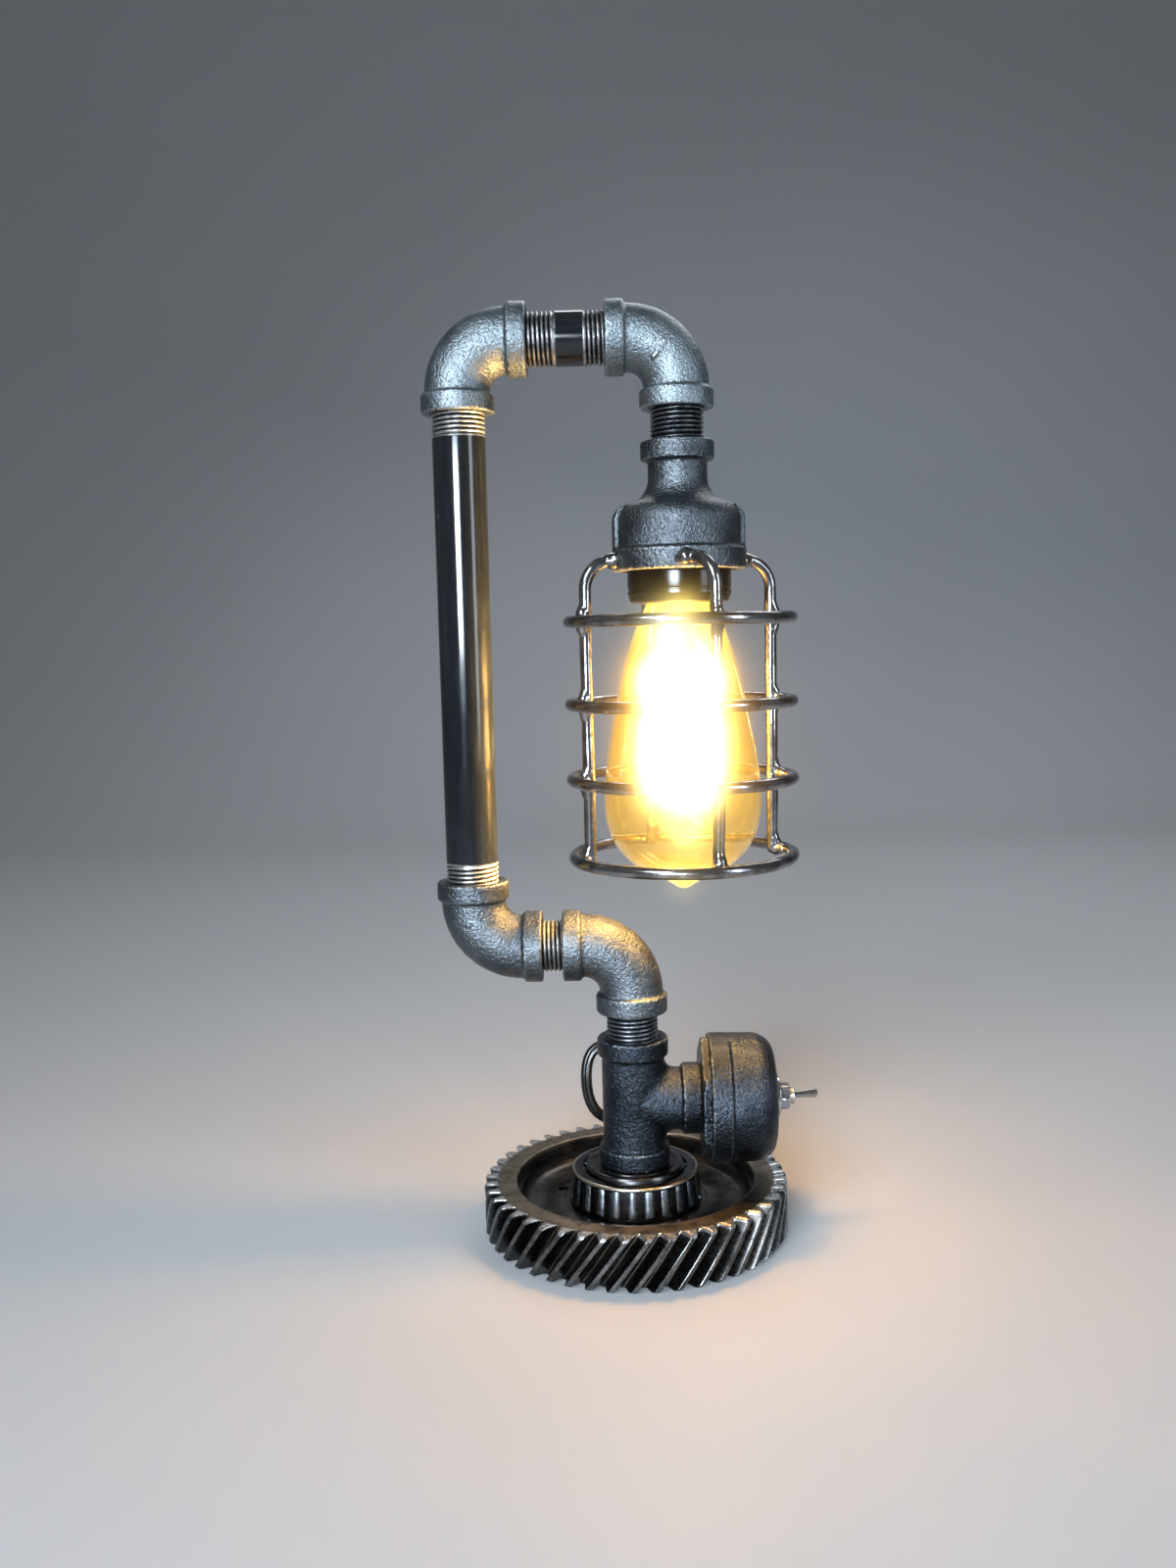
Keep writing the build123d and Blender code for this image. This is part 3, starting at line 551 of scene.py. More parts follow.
CAST_DARK = cast_iron("cast_iron_dark", (0.019, 0.023, 0.029), (0.043, 0.051, 0.063), rough=(0.30, 0.42), bump=0.75, edge_wear_highlight=(0.27, 0.30, 0.33))
CAST_GREY = cast_iron("cast_iron_grey", (0.135, 0.160, 0.175), (0.21, 0.245, 0.26), rough=(0.38, 0.50), bump=0.55, edge_wear_highlight=(0.46, 0.49, 0.50))
CAST_MID = cast_iron("cast_iron_mid", (0.062, 0.071, 0.080), (0.118, 0.134, 0.146), rough=(0.34, 0.46), bump=0.62, edge_wear_highlight=(0.36, 0.39, 0.41))


def thread_mat(name, crest, root, dirt, smooth_lo=None, smooth_hi=None, axis="Z", centre=(0, 0), lacquer=(0.005, 0.006, 0.007)):
    """Cut threads: bright crests and roots darkened by radius as painted shade in the grooves; lacquer between the
    threaded ends.
    """
    m = Mat(name)
    x, y, z = m.xyz()
    if axis == "Z":
        r = m.radius(centre[0], centre[1], "XY")
        along = z
    else:
        r = m.radius(0.0, centre[1], "YZ")
        along = x
    # k is 0 in the thread roots; the dark root colour there is painted shade
    k = m.between(r, (PIPE_R - 0.80) * MM, (PIPE_R - 0.30) * MM)
    patch = m.noise(3.0, 4.0, 0.65)
    fine = m.noise(0.5, 2.0, 0.6)
    bright = m.mix(m.between(patch, 0.42, 0.62), crest, dirt)
    col = m.mix(k, root, bright)
    rough = m.math("ADD", m.between(patch, 0.3, 0.7, 0.24, 0.46), m.math("MULTIPLY", fine, 0.1))
    if smooth_lo is not None:
        lac = m.math("MULTIPLY", m.between(along, (smooth_lo - 0.4) * MM, (smooth_lo + 0.5) * MM), m.between(along, (smooth_hi - 0.5) * MM, (smooth_hi + 0.4) * MM, 1.0, 0.0))
        ragged = m.math("ADD", lac, m.math("MULTIPLY", m.math("SUBTRACT", m.noise(1.6, 3.0, 0.6), 0.5), 0.7))
        lac = m.between(ragged, 0.42, 0.58)
        stretch = m.mapping((1, 1, 0.12) if axis == "Z" else (0.12, 1, 1))
        streak = m.noise(2.2, 4.0, 0.6, vec=stretch)
        chip = m.between(m.noise(2.6, 5.0, 0.7, vec=m.mapping((1, 1, 0.35) if axis == "Z" else (0.35, 1, 1))), 0.70, 0.73)
        lcol = m.mix(m.between(streak, 0.45, 0.75), lacquer, tuple(c * 1.8 for c in lacquer))
        lcol = m.mix(chip, lcol, (0.16, 0.15, 0.13))
        col = m.mix(lac, col, lcol)
        lr = m.between(streak, 0.3, 0.72, 0.10, 0.135)
        lr = m.math("ADD", lr, m.math("MULTIPLY", chip, 0.3))
        rough = m.math("ADD", m.math("MULTIPLY", rough, m.math("SUBTRACT", 1.0, lac)), m.math("MULTIPLY", lr, lac))
        m.set("Metallic", m.math("SUBTRACT", 1.0, lac))
        h = m.math("ADD", m.math("MULTIPLY", streak, lac), m.math("MULTIPLY", fine, 0.25))
        m.set("Normal", m.bump(h, 0.03, 0.30, m.bump(lac, 0.5, 0.12)))
        m.set("Specular IOR Level", 0.45)
    else:
        m.set("Metallic", 1.0)
        m.set("Normal", m.bump(fine, 0.22, 0.10))
    m.set("Base Color", col)
    m.set("Roughness", rough)
    return m.m


THREAD_DARK = thread_mat("thread_steel", (0.30, 0.31, 0.33), (0.02, 0.022, 0.026), (0.10, 0.105, 0.115), centre=(SX, 0))
THREAD_HEAD = thread_mat("thread_head", (0.20, 0.21, 0.22), (0.012, 0.013, 0.015), (0.055, 0.058, 0.062), centre=(HX, 0))
THREAD_MID = thread_mat("thread_mid", (0.46, 0.45, 0.43), (0.03, 0.03, 0.03), (0.20, 0.195, 0.19), axis="X", centre=(0, LOW_Z))
riser_z0, riser_z1 = LOW_Z + C2F - ENG, TOP_Z - C2F + ENG
RISER = thread_mat("riser_lacquer", (0.55, 0.54, 0.52), (0.05, 0.05, 0.05), (0.24, 0.235, 0.23), riser_z0 + ENG + 8.0, riser_z1 - ENG - 9.3, "Z", (RX, 0))
arm_x0, arm_x1 = RX + C2F - ENG, HX - C2F + ENG
ARM = thread_mat("arm_lacquer", (0.42, 0.42, 0.42), (0.02, 0.02, 0.022), (0.13, 0.13, 0.135), arm_x0 + ENG + 11.5, arm_x1 - ENG - 8.3, "X", (0, TOP_Z))
BRANCH = thread_mat("thread_branch", (0.22, 0.22, 0.23), (0.02, 0.02, 0.02), (0.07, 0.07, 0.07), axis="X", centre=(0, TEE_Z))


def gear_material():
    """Darker flanks and lighter lands; bright tip edges, partly rubbed wear and partly painted highlight; a painted
    highlight on the top chamfers; brown-grey machined rim.
    """
    m = Mat("gear_steel", Metallic=1.0)
    x, y, z = m.xyz()
    r = m.radius(SX, 0.0)
    n1 = m.noise(7.0, 4.0, 0.6)
    n2 = m.noise(1.3, 4.0, 0.65)
    fine = m.noise(0.35, 2.0, 0.6)
    # turned marks on the rim and web, as rings
    comb = m.nt.nodes.new("ShaderNodeCombineXYZ")
    m.nt.links.new(r, comb.inputs[0])
    rings = m.noise(0.45, 3.0, 0.6, vec=comb.outputs[0])
    top = m.between(z, 20.9 * MM, 21.4 * MM)
    outer = m.between(r, 57.7 * MM, 58.9 * MM)
    land = m.between(r, 62.7 * MM, 63.35 * MM)
    rim_col = m.mix(m.between(n1, 0.35, 0.66), (0.17, 0.14, 0.10), (0.225, 0.19, 0.14))
    rim_col = m.mix(m.between(n2, 0.58, 0.74, 0.0, 0.55), rim_col, (0.10, 0.082, 0.06))
    web_col = m.mix(m.between(n1, 0.35, 0.66), (0.045, 0.043, 0.040), (0.075, 0.071, 0.064))
    body = m.mix(m.between(z, 19.6 * MM, 21.1 * MM), web_col, rim_col)
    flank = m.mix(m.between(n1, 0.42, 0.62), (0.040, 0.040, 0.041), (0.070, 0.069, 0.067))
    # the bright colour is painted highlight: all of it on the top chamfers, and on the tip edges partly painted
    # highlight, partly rubbed wear
    bright = m.mix(m.between(n2, 0.55, 0.75), (0.56, 0.57, 0.57), (0.30, 0.29, 0.27))
    edge_wear_highlight = m.math("MULTIPLY", m.between(m.pointiness(), 0.53, 0.60), m.between(n2, 0.36, 0.52, 0.35, 1.0))
    tooth = m.mix(land, flank, m.mix(m.between(n1, 0.40, 0.60), (0.075, 0.076, 0.078), (0.15, 0.152, 0.155)))
    tooth = m.mix(m.math("MULTIPLY", edge_wear_highlight, m.between(r, 61.8 * MM, 62.9 * MM)), tooth, bright)
    # painted highlight: the top chamfers of all teeth take the bright colour
    tooth_top_highlight = m.mix(m.between(z, 20.2 * MM, 20.9 * MM), tooth, bright)
    col = m.mix(outer, body, tooth_top_highlight)
    m.set("Base Color", col)
    rr = m.math("ADD", m.between(n1, 0.3, 0.7, 0.26, 0.34), m.math("MULTIPLY", m.math("SUBTRACT", rings, 0.5), 0.26))
    rt = m.math("ADD", m.between(n2, 0.3, 0.7, 0.22, 0.36), m.math("MULTIPLY", m.math("SUBTRACT", fine, 0.5), 0.14))
    m.set("Roughness", m.math("ADD", m.math("MULTIPLY", rr, m.math("SUBTRACT", 1.0, outer)), m.math("MULTIPLY", rt, outer), clamp=True))
    h = m.math("MULTIPLY", rings, m.math("SUBTRACT", 1.0, outer))
    m.set("Normal", m.bump(fine, 0.15, 0.05, m.bump(n2, 0.10, 0.12, m.bump(h, 0.35, 0.05))))
    return m.m


GEAR = gear_material()
ROLLER = steel("roller_steel", (0.74, 0.82, 0.93), rough=0.27, var=0.03, grain=0.25, bump=0.03)


def cage_steel():
    m = Mat("bearing_cage_steel", Metallic=1.0)
    z = m.xyz()[2]
    r = m.radius(SX, 0.0)
    n1 = m.noise(8.0, 3.0, 0.55)
    fine = m.noise(0.5, 2.0, 0.6)
    # painted highlight: a bright tan band round the upper shoulder of the cage
    shoulder_highlight = m.math("MULTIPLY", m.between(z, 24.9 * MM, 25.35 * MM), m.between(r, 25.2 * MM, 25.7 * MM))
    col = m.mix(m.between(n1, 0.35, 0.65), (0.042, 0.042, 0.045), (0.070, 0.070, 0.073))
    col = m.mix(shoulder_highlight, col, (0.52, 0.46, 0.36))
    m.set("Base Color", col)
    m.set("Roughness", m.math("ADD", m.between(n1, 0.3, 0.7, 0.20, 0.28), m.math("MULTIPLY", m.math("SUBTRACT", fine, 0.5), 0.1), clamp=True))
    m.set("Normal", m.bump(fine, 0.10, 0.05))
    return m.m


CAGE_STEEL = cage_steel()
CONE_STEEL = steel("bearing_cone_steel", (0.085, 0.083, 0.082), rough=0.24, var=0.05, grain=0.35, bump=0.08, scale=2.0)
ZINC = steel("zinc_steel", (0.55, 0.56, 0.54), rough=0.34, var=0.08, grain=0.6, bump=0.15)
CHROME = steel("chrome", (0.62, 0.62, 0.62), rough=0.2, var=0.05, grain=0.4, bump=0.05)
NICKEL = steel("lever_steel", (0.42, 0.41, 0.39), rough=0.20, var=0.06, grain=0.3, bump=0.06, stretch=(0.15, 1, 1))
BRASS = steel("brass", (0.68, 0.47, 0.18), rough=0.3, var=0.08, grain=0.5, bump=0.1)
LAMPCAP = steel("lamp_cap", (0.70, 0.68, 0.64), rough=0.3, var=0.08, grain=0.5, bump=0.1)
SUPPORT = steel("support_wire", (0.45, 0.43, 0.40), rough=0.35, var=0.08, grain=0.2, bump=0.05)


def wire_material(name, base, dark, rough=0.2):
    """Bent and polished steel wire: darker heat-marked patches and a brownish heat tint."""
    m = Mat(name, Metallic=1.0)
    n1 = m.noise(7.0, 3.0, 0.55)
    n2 = m.noise(2.2, 4.0, 0.65)
    fine = m.noise(0.35, 2.0, 0.6)
    col = m.mix(m.between(n1, 0.42, 0.60), base, dark)
    col = m.mix(m.between(n2, 0.64, 0.76, 0.0, 0.6), col, tuple(c * 0.35 for c in dark))
    col = m.mix(m.between(m.noise(11.0, 2.0, 0.5), 0.62, 0.78, 0.0, 0.4), col, (0.30, 0.22, 0.14))
    m.set("Base Color", col)
    m.set("Roughness", m.math("ADD", m.between(n1, 0.3, 0.7, rough - 0.05, rough + 0.05), m.math("MULTIPLY", m.math("SUBTRACT", fine, 0.5), 0.08), clamp=True))
    m.set("Normal", m.bump(n2, 0.08, 0.2, m.bump(fine, 0.06, 0.04)))
    return m.m


WIRE = wire_material("polished_steel", (0.32, 0.32, 0.325), (0.14, 0.14, 0.145), 0.17)


def plastic(name, base, rough=0.3, bump=0.1, grain=0.6, var=0.08, coat=0.0):
    m = Mat(name)
    n1 = m.noise(6.0, 3.0, 0.5)
    n2 = m.noise(grain, 2.0, 0.6)
    m.set("Base Color", m.mix(m.between(n1, 0.35, 0.65), tuple(c * 0.7 for c in base), base))
    m.set("Roughness", m.math("ADD", m.between(n1, 0.3, 0.7, rough - var, rough + var), m.math("MULTIPLY", m.math("SUBTRACT", n2, 0.5), 0.12), clamp=True))
    m.set("Normal", m.bump(n2, bump, 0.08))
    if coat:
        m.set("Coat Weight", coat)
    return m.m


PHENOLIC = plastic("black_phenolic", (0.0035, 0.003, 0.0028), 0.18, 0.04, 0.8, 0.04)
PHENOLIC.node_tree.nodes["Principled BSDF"].inputs["Specular IOR Level"].default_value = 0.26
RUBBER = plastic("rubber_black", (0.022, 0.021, 0.020), 0.5, 0.25, 0.4)
CORD = plastic("cord_black", (0.003, 0.003, 0.003), 0.24, 0.10, 1.2, 0.05)
CORD.node_tree.nodes["Principled BSDF"].inputs["Specular IOR Level"].default_value = 0.35
PLUGM = plastic("plug_black", (0.020, 0.019, 0.019), 0.42, 0.3, 0.35)
SLEEVE = plastic("wire_sleeve", (0.05, 0.05, 0.05), 0.4, 0.1, 0.8)
CERAMIC = plastic("white_ceramic", (0.80, 0.77, 0.71), 0.45, 0.2, 0.5)
VITRITE = plastic("black_glass", (0.02, 0.02, 0.025), 0.18, 0.05, 0.8)


def glass(name, color, rough=0.02, glow=0.0):
    m = Mat(name, Roughness=rough, IOR=1.45)
    m.set("Transmission Weight", 1.0)
    n = m.noise(14.0, 2.0, 0.5)
    m.set("Base Color", m.mix(m.between(n, 0.35, 0.65), color, tuple(min(1, c * 1.04) for c in color)))
    m.set("Normal", m.bump(n, 0.05, 0.6))
    if glow:
        # painted glow: emission on the glass at the neck and round the tip stands in for the filament's light caught in
        # the glass
        z = m.xyz()[2]
        ends = m.math("MULTIPLY", m.between(z, 0.178, 0.158, 0.0, 5.0), m.between(m.radius(HX, 0.0), 0.026, 0.006))
        g = m.math("MULTIPLY", m.math("ADD", ends, m.between(z, 0.235, 0.257, 1.0, 4.0)), m.between(m.noise(22.0, 2.0, 0.5), 0.3, 0.7, 0.75, 1.1))
        m.set("Emission Color", (1.0, 0.58, 0.14))
        m.set("Emission Strength", m.math("MULTIPLY", g, glow))
    return m.m


AMBER = glass("amber_glass", (1.0, 0.85, 0.46), glow=0.12)
CLEAR = glass("clear_glass", (0.97, 0.96, 0.92))


def glow_material():
    m = Mat("filament")
    n = m.noise(3.0, 2.0, 0.5)
    m.set("Base Color", (0.9, 0.5, 0.2))
    m.set("Roughness", 0.5)
    m.set("Emission Color", m.mix(m.between(n, 0.3, 0.7), (1.0, 0.50, 0.14), (1.0, 0.58, 0.20)))
    m.set("Emission Strength", 450.0)
    return m.m


GLOW = glow_material()


# ---------------------------------------------------------------- the cord comes first
CORD_D = 4.4
COIL = (34.0, 112.0)
COLS = (17.7, 22.2, 26.7, 31.2)
ROWS = (2.27, 6.77, 11.27)
LEAD_X = COIL[0] - 31.2


def cord_route():
    """Control points in mm, before the shift along X."""
    r0 = CORD_D / 2
    pts = [(0.0, 31.0, 64.0), (0.0, 45.0, 64.0), (-20.4, 44.0, 65.0), (-20.6, 39.0, 37.0), (-6.0, 41.0, 28.6),
           (LEAD_X, 70.0, 29.0), (LEAD_X, 91.0, r0 + 0.05)]
    per = 20
    grow = 1.0 / ((3 + math.cos(2 * math.pi / per)) / 4)
    turns = [COLS[3], COLS[2], COLS[1], COLS[0], COLS[0], COLS[1], COLS[2], COLS[3], COLS[3], COLS[2]]
    layer = [0, 0, 0, 0, 1, 1, 1, 1, 2, 2]
    for t in range(10):
        r, z = turns[t], ROWS[layer[t]]
        rn = turns[t + 1] if t < 9 else r
        zn = ROWS[layer[t + 1]] if t < 9 else z
        for k in range(per):
            f = k / per
            a = math.pi - 2 * math.pi * f
            s = max(0.0, (f - 0.80) / 0.20)
            s = s * s * (3 - 2 * s)
            rr = (r + (rn - r) * s) * grow
            pts.append((COIL[0] + rr * math.cos(a), COIL[1] + rr * math.sin(a), z + (zn - z) * s))
    # the last part curls in and up to the plug
    phi0 = math.radians(123.7)
    rho = 17.7
    big = COLS[2]
    c = (COIL[0] + (big - rho) * math.cos(phi0), COIL[1] + (big - rho) * math.sin(phi0))
    zp = 13.5 + 6.87
    for a in (180, 162, 144):
        q = math.radians(a)
        pts.append((COIL[0] + big * grow * math.cos(q), COIL[1] + big * grow * math.sin(q), ROWS[2] + (180 - a) / 56 * 1.2))
    for i, a in enumerate((123.7, 103, 82, 61, 40, 19)):
        q = math.radians(a)
        s = (i + 1) / 6
        s = s * s * (3 - 2 * s)
        pts.append((c[0] + rho * 1.012 * math.cos(q), c[1] + rho * 1.012 * math.sin(q), 12.6 + (zp - 12.6) * s))
    pts.append((COIL[0] + 12.7, COIL[1] + 7.5 + 3.0, zp))
    pts.append((COIL[0] + 12.7, COIL[1] + 7.5 - 3.0, zp))
    return [(x + SX, y, z) for x, y, z in pts]


def make_cord():
    cu = bpy.data.curves.new("mains_cord", "CURVE")
    cu.dimensions = "3D"
    pts = cord_route()
    sp = cu.splines.new("NURBS")
    sp.points.add(len(pts) - 1)
    for p, q in zip(sp.points, pts):
        p.co = (q[0] * MM, q[1] * MM, q[2] * MM, 1)
    sp.order_u = 3
    sp.use_endpoint_u = True
    sp.resolution_u = 6
    bare = bpy.data.objects.new("route", cu)
    line = bpy.data.meshes.new_from_object(bare)
    P = coords(line) / MM
    bpy.data.objects.remove(bare)
    # flat twin lead: two strands side by side in one skin
    th = np.linspace(0, 2 * math.pi, 28, endpoint=False)
    sec = []
    for a in th:
        x, y = math.cos(a), math.sin(a)
        w = 1.0
        h = 0.78 * (1 - 0.34 * math.exp(-(x / 0.26) ** 2))
        sec.append((1.12 * w * x, h * y * (1 - 0.10 * x * x)))
    T, N, B = frames_along(P)
    # the flat side stays level, with a slow wander in the free loop
    along = np.concatenate([[0], np.cumsum(np.linalg.norm(np.diff(P, axis=0), axis=1))])
    flat = np.clip((along - 75) / 40, 0, 1)[:, None]
    want = np.cross([0, 1.0, 0], T) * (1 - flat) + np.cross([0, 0, 1.0], T) * flat
    ln = np.linalg.norm(want, axis=1)
    want[ln < 0.25] = 0
    roll = np.zeros(len(P))
    last = 0.0
    for i in range(len(P)):
        if ln[i] >= 0.25:
            w = want[i] / ln[i]
            a = math.atan2(w @ B[i], w @ N[i])
            while a - last > math.pi / 2:
                a -= math.pi
            while a - last < -math.pi / 2:
                a += math.pi
            last = last + (a - last) * 0.25
        roll[i] = last
    ob = tube_mesh("mains_cord", P, CORD_D / 2, section=sec, roll=roll, sharp=70)
    put(ob, "base", CORD, "cord_black", "cord_lead", "cord_coil")
    print("cord points", len(pts), "length mm", round(float(along[-1]), 1))
    return ob, (P * MM).tolist(), float(along[-1]) * MM


cord_ob, cord_line, cord_len = make_cord()


def make_plug():
    """Flat two-pin plug with its strain relief, on the coil, pins towards -Y."""
    px, y0, pz = COIL[0] + 12.7 + SX, COIL[1] + 7.5, 13.5 + 6.87
    n = 48
    th = np.linspace(0, 2 * math.pi, n, endpoint=False)
    rows = []

    def ring(y, hw, hh, e):
        c, s = np.cos(th), np.sin(th)
        x = hw * np.sign(c) * np.abs(c) ** (2 / e)
        z = hh * np.sign(s) * np.abs(s) ** (2 / e)
        rows.append(np.stack([px + x, np.full(n, y), pz + z], 1))
    # strain relief with ribs, then the body
    ring(y0 + 0.0, 2.45, 2.3, 2)
    ring(y0 - 0.02, 2.9, 2.7, 2)
    for k in range(5):
        y = y0 - 0.5 - 1.6 * k
        g = 0.36 * k
        ring(y, 3.0 + g, 2.8 + g * 0.9, 2)
        ring(y - 0.15, 3.25 + g, 3.05 + g * 0.9, 2)
        ring(y - 0.95, 3.3 + g, 3.1 + g * 0.9, 2)
        ring(y - 1.1, 3.0 + g, 2.8 + g * 0.9, 2)
        ring(y - 1.5, 3.05 + g, 2.85 + g * 0.9, 2)
    ring(y0 - 9.0, 4.9, 4.4, 2.1)
    ring(y0 - 10.4, 6.4, 5.2, 2.3)
    ring(y0 - 12.4, 8.6, 6.1, 2.6)
    ring(y0 - 15.5, 10.4, 6.6, 3.0)
    ring(y0 - 20.0, 11.6, 6.75, 3.4)
    ring(y0 - 30.0, 11.9, 6.78, 3.8)
    ring(y0 - 41.0, 11.9, 6.78, 3.8)
    ring(y0 - 43.3, 11.75, 6.65, 3.8)
    ring(y0 - 43.85, 11.3, 6.2, 3.8)
    ring(y0 - 44.0, 10.6, 5.6, 3.8)
    V = np.concatenate(rows)
    F = [list(f) for f in grid_faces(n, len(rows), True, False)]
    F += [list(range(n)), [(len(rows) - 1) * n + k for k in range(n)][::-1]]
    ob = mesh_obj("plug_body", V, F, 40)
    put(ob, "base", PLUGM, "plug_black", "plug")
    pins = []
    for sg in (-1, 1):
        p = lathe("plug_pin_%d" % (1 if sg > 0 else 2), [(0, -1.5), (1.62, -1.5), (1.62, 0.0), (1.62, 9.6), (2.0, 9.9), (2.0, 17.2), (1.2, 18.9), (0, 19.0)], 32, "Y", (0, 0, 0), 30)
        co = coords(p.data)
        co[:, 1] = -co[:, 1]
        co += np.array([px + sg * 8.93, y0 - 44.0, pz]) * MM
        set_coords(p.data, co)
        finish_mesh(p, 30)
        pins.append(p)
    sleeves = []
    put(pins[0], "base", NICKEL, "plug_pin_metal", "plug_pins")
    put(pins[1], "base", NICKEL, "plug_pin_metal")
    return [ob] + pins + sleeves


plug_parts = make_plug()


def make_tie():
    """A soft wire tie round the coil's turns."""
    ties = []
    for i, a in enumerate((math.radians(-62), math.radians(205))):
        c = np.array([COIL[0] + SX + 24.45 * math.cos(a), COIL[1] + 24.45 * math.sin(a), 6.8])
        e = np.array([math.cos(a), math.sin(a), 0])
        th = np.linspace(0, 2 * math.pi, 72, endpoint=False)
        P = []
        for t in th:
            x, z = math.cos(t), math.sin(t)
            k = 4.5
            rx = 9.75 * abs(x) ** (2 / k) * (1 if x > 0 else -1)
            rz = 7.0 * abs(z) ** (2 / k) * (1 if z > 0 else -1)
            P.append(c + e * rx + np.array([0, 0, rz + 0.45]))
        P = np.array(P)
        P[:, 2] = np.maximum(P[:, 2], 0.5)
        t = tube_mesh("cord_tie_%d" % (i + 1), P, 0.45, seg=10, closed=True)
        put(t, "base", RUBBER, "rubber_black")
        ties.append(t)
    return ties


tie_parts = make_tie()

bush = lathe("cord_strain_relief", [(2.3, 9.2), (3.05, 9.2, 0.2), (3.05, 13.4), (4.7, 13.4, 0.3), (4.7, 14.5, 0.4), (3.7, 15.3, 0.2)]
             + [q for k in range(6) for q in ((3.62 - 0.15 * k, 15.9 + 2.35 * k, 0.1), (3.12 - 0.12 * k, 16.1 + 2.35 * k, 0.1), (3.10 - 0.12 * k, 17.5 + 2.35 * k, 0.1), (3.55 - 0.15 * k, 17.7 + 2.35 * k, 0.1))]
             + [(2.72, 30.9, 0.2), (2.35, 30.9, 0.1)], 48, "Y", (SX, 0, 64.0), 35)
put(bush, "base", RUBBER, "rubber_black", "cord_bush")


# ---------------------------------------------------------------- castings
casting("top_elbow_left", "frame", CAST_GREY, seed=3)
casting("top_elbow_right", "head", CAST_GREY, seed=13)
casting("lower_elbow_left", "frame", CAST_MID, seed=23)
casting("lower_elbow_right", "frame", CAST_MID, seed=33)
casting("tee", "base", CAST_DARK, seed=43)
casting("bell_reducer", "head", CAST_MID, seed=53, voxel=0.6)
casting("switch_cap", "base", CAST_DARK, seed=63, voxel=0.6)
casting("hex_bushing", "base", CAST_DARK, seed=73, voxel=0.5, amp=0.6)


# ---------------------------------------------------------------- threaded pipes
def threaded(name, L, zones, axis, at, r=PIPE_R, ir=7.9, depth=1.0, seg=96, per=8, pitch=PITCH, cham=0.9, coarse=6.0):
    """A pipe with right-hand helical threads in its zones; rows follow the helix."""
    zs = []
    z = -pitch
    while z < L + pitch:
        near = any(a - 2 * pitch <= z <= b + 2 * pitch for a, b in zones)
        zs.append(z)
        z += pitch / per if near else coarse
        if not near:
            for a, b in zones:
                lo = a - 2 * pitch
                if zs[-1] < lo < z:
                    z = lo
    zs = np.array(zs)
    th = np.linspace(0, 2 * math.pi, seg, endpoint=False)
    # turn phase counted on the whole number of pitches so that the seam closes
    rows = []
    for zj in zs:
        zz = zj + pitch * th / (2 * math.pi)
        ph = (zj / pitch) % 1.0
        tri = abs(2 * ph - 1)
        prof = min(1.0, max(0.0, (tri - 0.10) / 0.74))
        env = np.zeros(seg)
        for a, b in zones:
            up = np.clip((zz - a) / (0.6 * pitch), 0, 1)
            dn = np.clip((b - zz) / (1.6 * pitch), 0, 1)
            env = np.maximum(env, np.minimum(up, dn))
        rr = r - depth * (1 - prof) * env
        rows.append((rr, zz))
    # the seam: row j at the end of the turn meets row j + per at its start
    V, grid = [], []
    for rr, zz in rows:
        zc = np.clip(zz, 0.0, L)
        ch = np.minimum(1.0, np.minimum((zc + 0.0) / cham, (L - zc) / cham))
        rr = np.minimum(rr, r - cham * (1 - ch))
        V.append(np.stack([rr * np.cos(th), rr * np.sin(th), zc], 1))
    n = len(V)
    F = []
    for j in range(n - 1):
        for i in range(seg - 1):
            F.append((j * seg + i, j * seg + i + 1, (j + 1) * seg + i + 1, (j + 1) * seg + i))
    return V, F, zs, n, seg


def threaded_pipe(name, L, zones, axis, at, r=PIPE_R, ir=7.9, depth=1.0, seg=96, per=8, pitch=PITCH, cham=0.9):
    """Rows at fixed heights; the groove's phase moves round with the angle, as on a real helix."""
    zs = [0.0]
    while zs[-1] < L - 1e-6:
        z = zs[-1]
        near = any(a - 1.0 <= z < b + 1.0 for a, b in zones)
        step = pitch / per if near else 5.0
        nxt = z + step
        if not near:
            for a, b in zones:
                if z < a - 1.0 < nxt:
                    nxt = a - 1.0
        zs.append(min(L, nxt))
    zs = sorted(set([round(z, 5) for z in zs] + [cham, round(L - cham, 5)]))
    zs = np.array(zs)[:, None]
    th = np.linspace(0, 2 * math.pi, seg, endpoint=False)[None, :]
    ph = (zs / pitch - th / (2 * math.pi)) % 1.0
    tri = np.abs(2 * ph - 1)
    prof = np.clip((tri - 0.08) / 0.76, 0, 1)
    env = np.zeros(ph.shape)
    for a, b in zones:
        up = np.clip((zs - a) / (0.8 * pitch), 0, 1)
        dn = np.clip((b - zs) / (0.8 * pitch), 0, 1)
        env = np.maximum(env, np.minimum(up, dn) + 0 * th)
    rr = r - depth * (1 - prof ** 0.8) * env
    ch = np.clip(np.minimum(zs / cham, (L - zs) / cham), 0, 1)
    rr = np.minimum(rr, r - cham * (1 - ch))
    V = np.stack([rr * np.cos(th), rr * np.sin(th), zs + 0 * rr], -1).reshape(-1, 3)
    n = len(zs)
    t = th[0]
    inner = []
    for zz in (L, 0.0):
        inner.append(np.stack([ir * np.cos(t), ir * np.sin(t), np.full(seg, zz)], 1))
    V = np.concatenate([V] + inner)
    F = grid_faces(seg, n + 2, True, True)
    return mesh_obj(name, place(V, axis, at), F, 48, 5e-7)


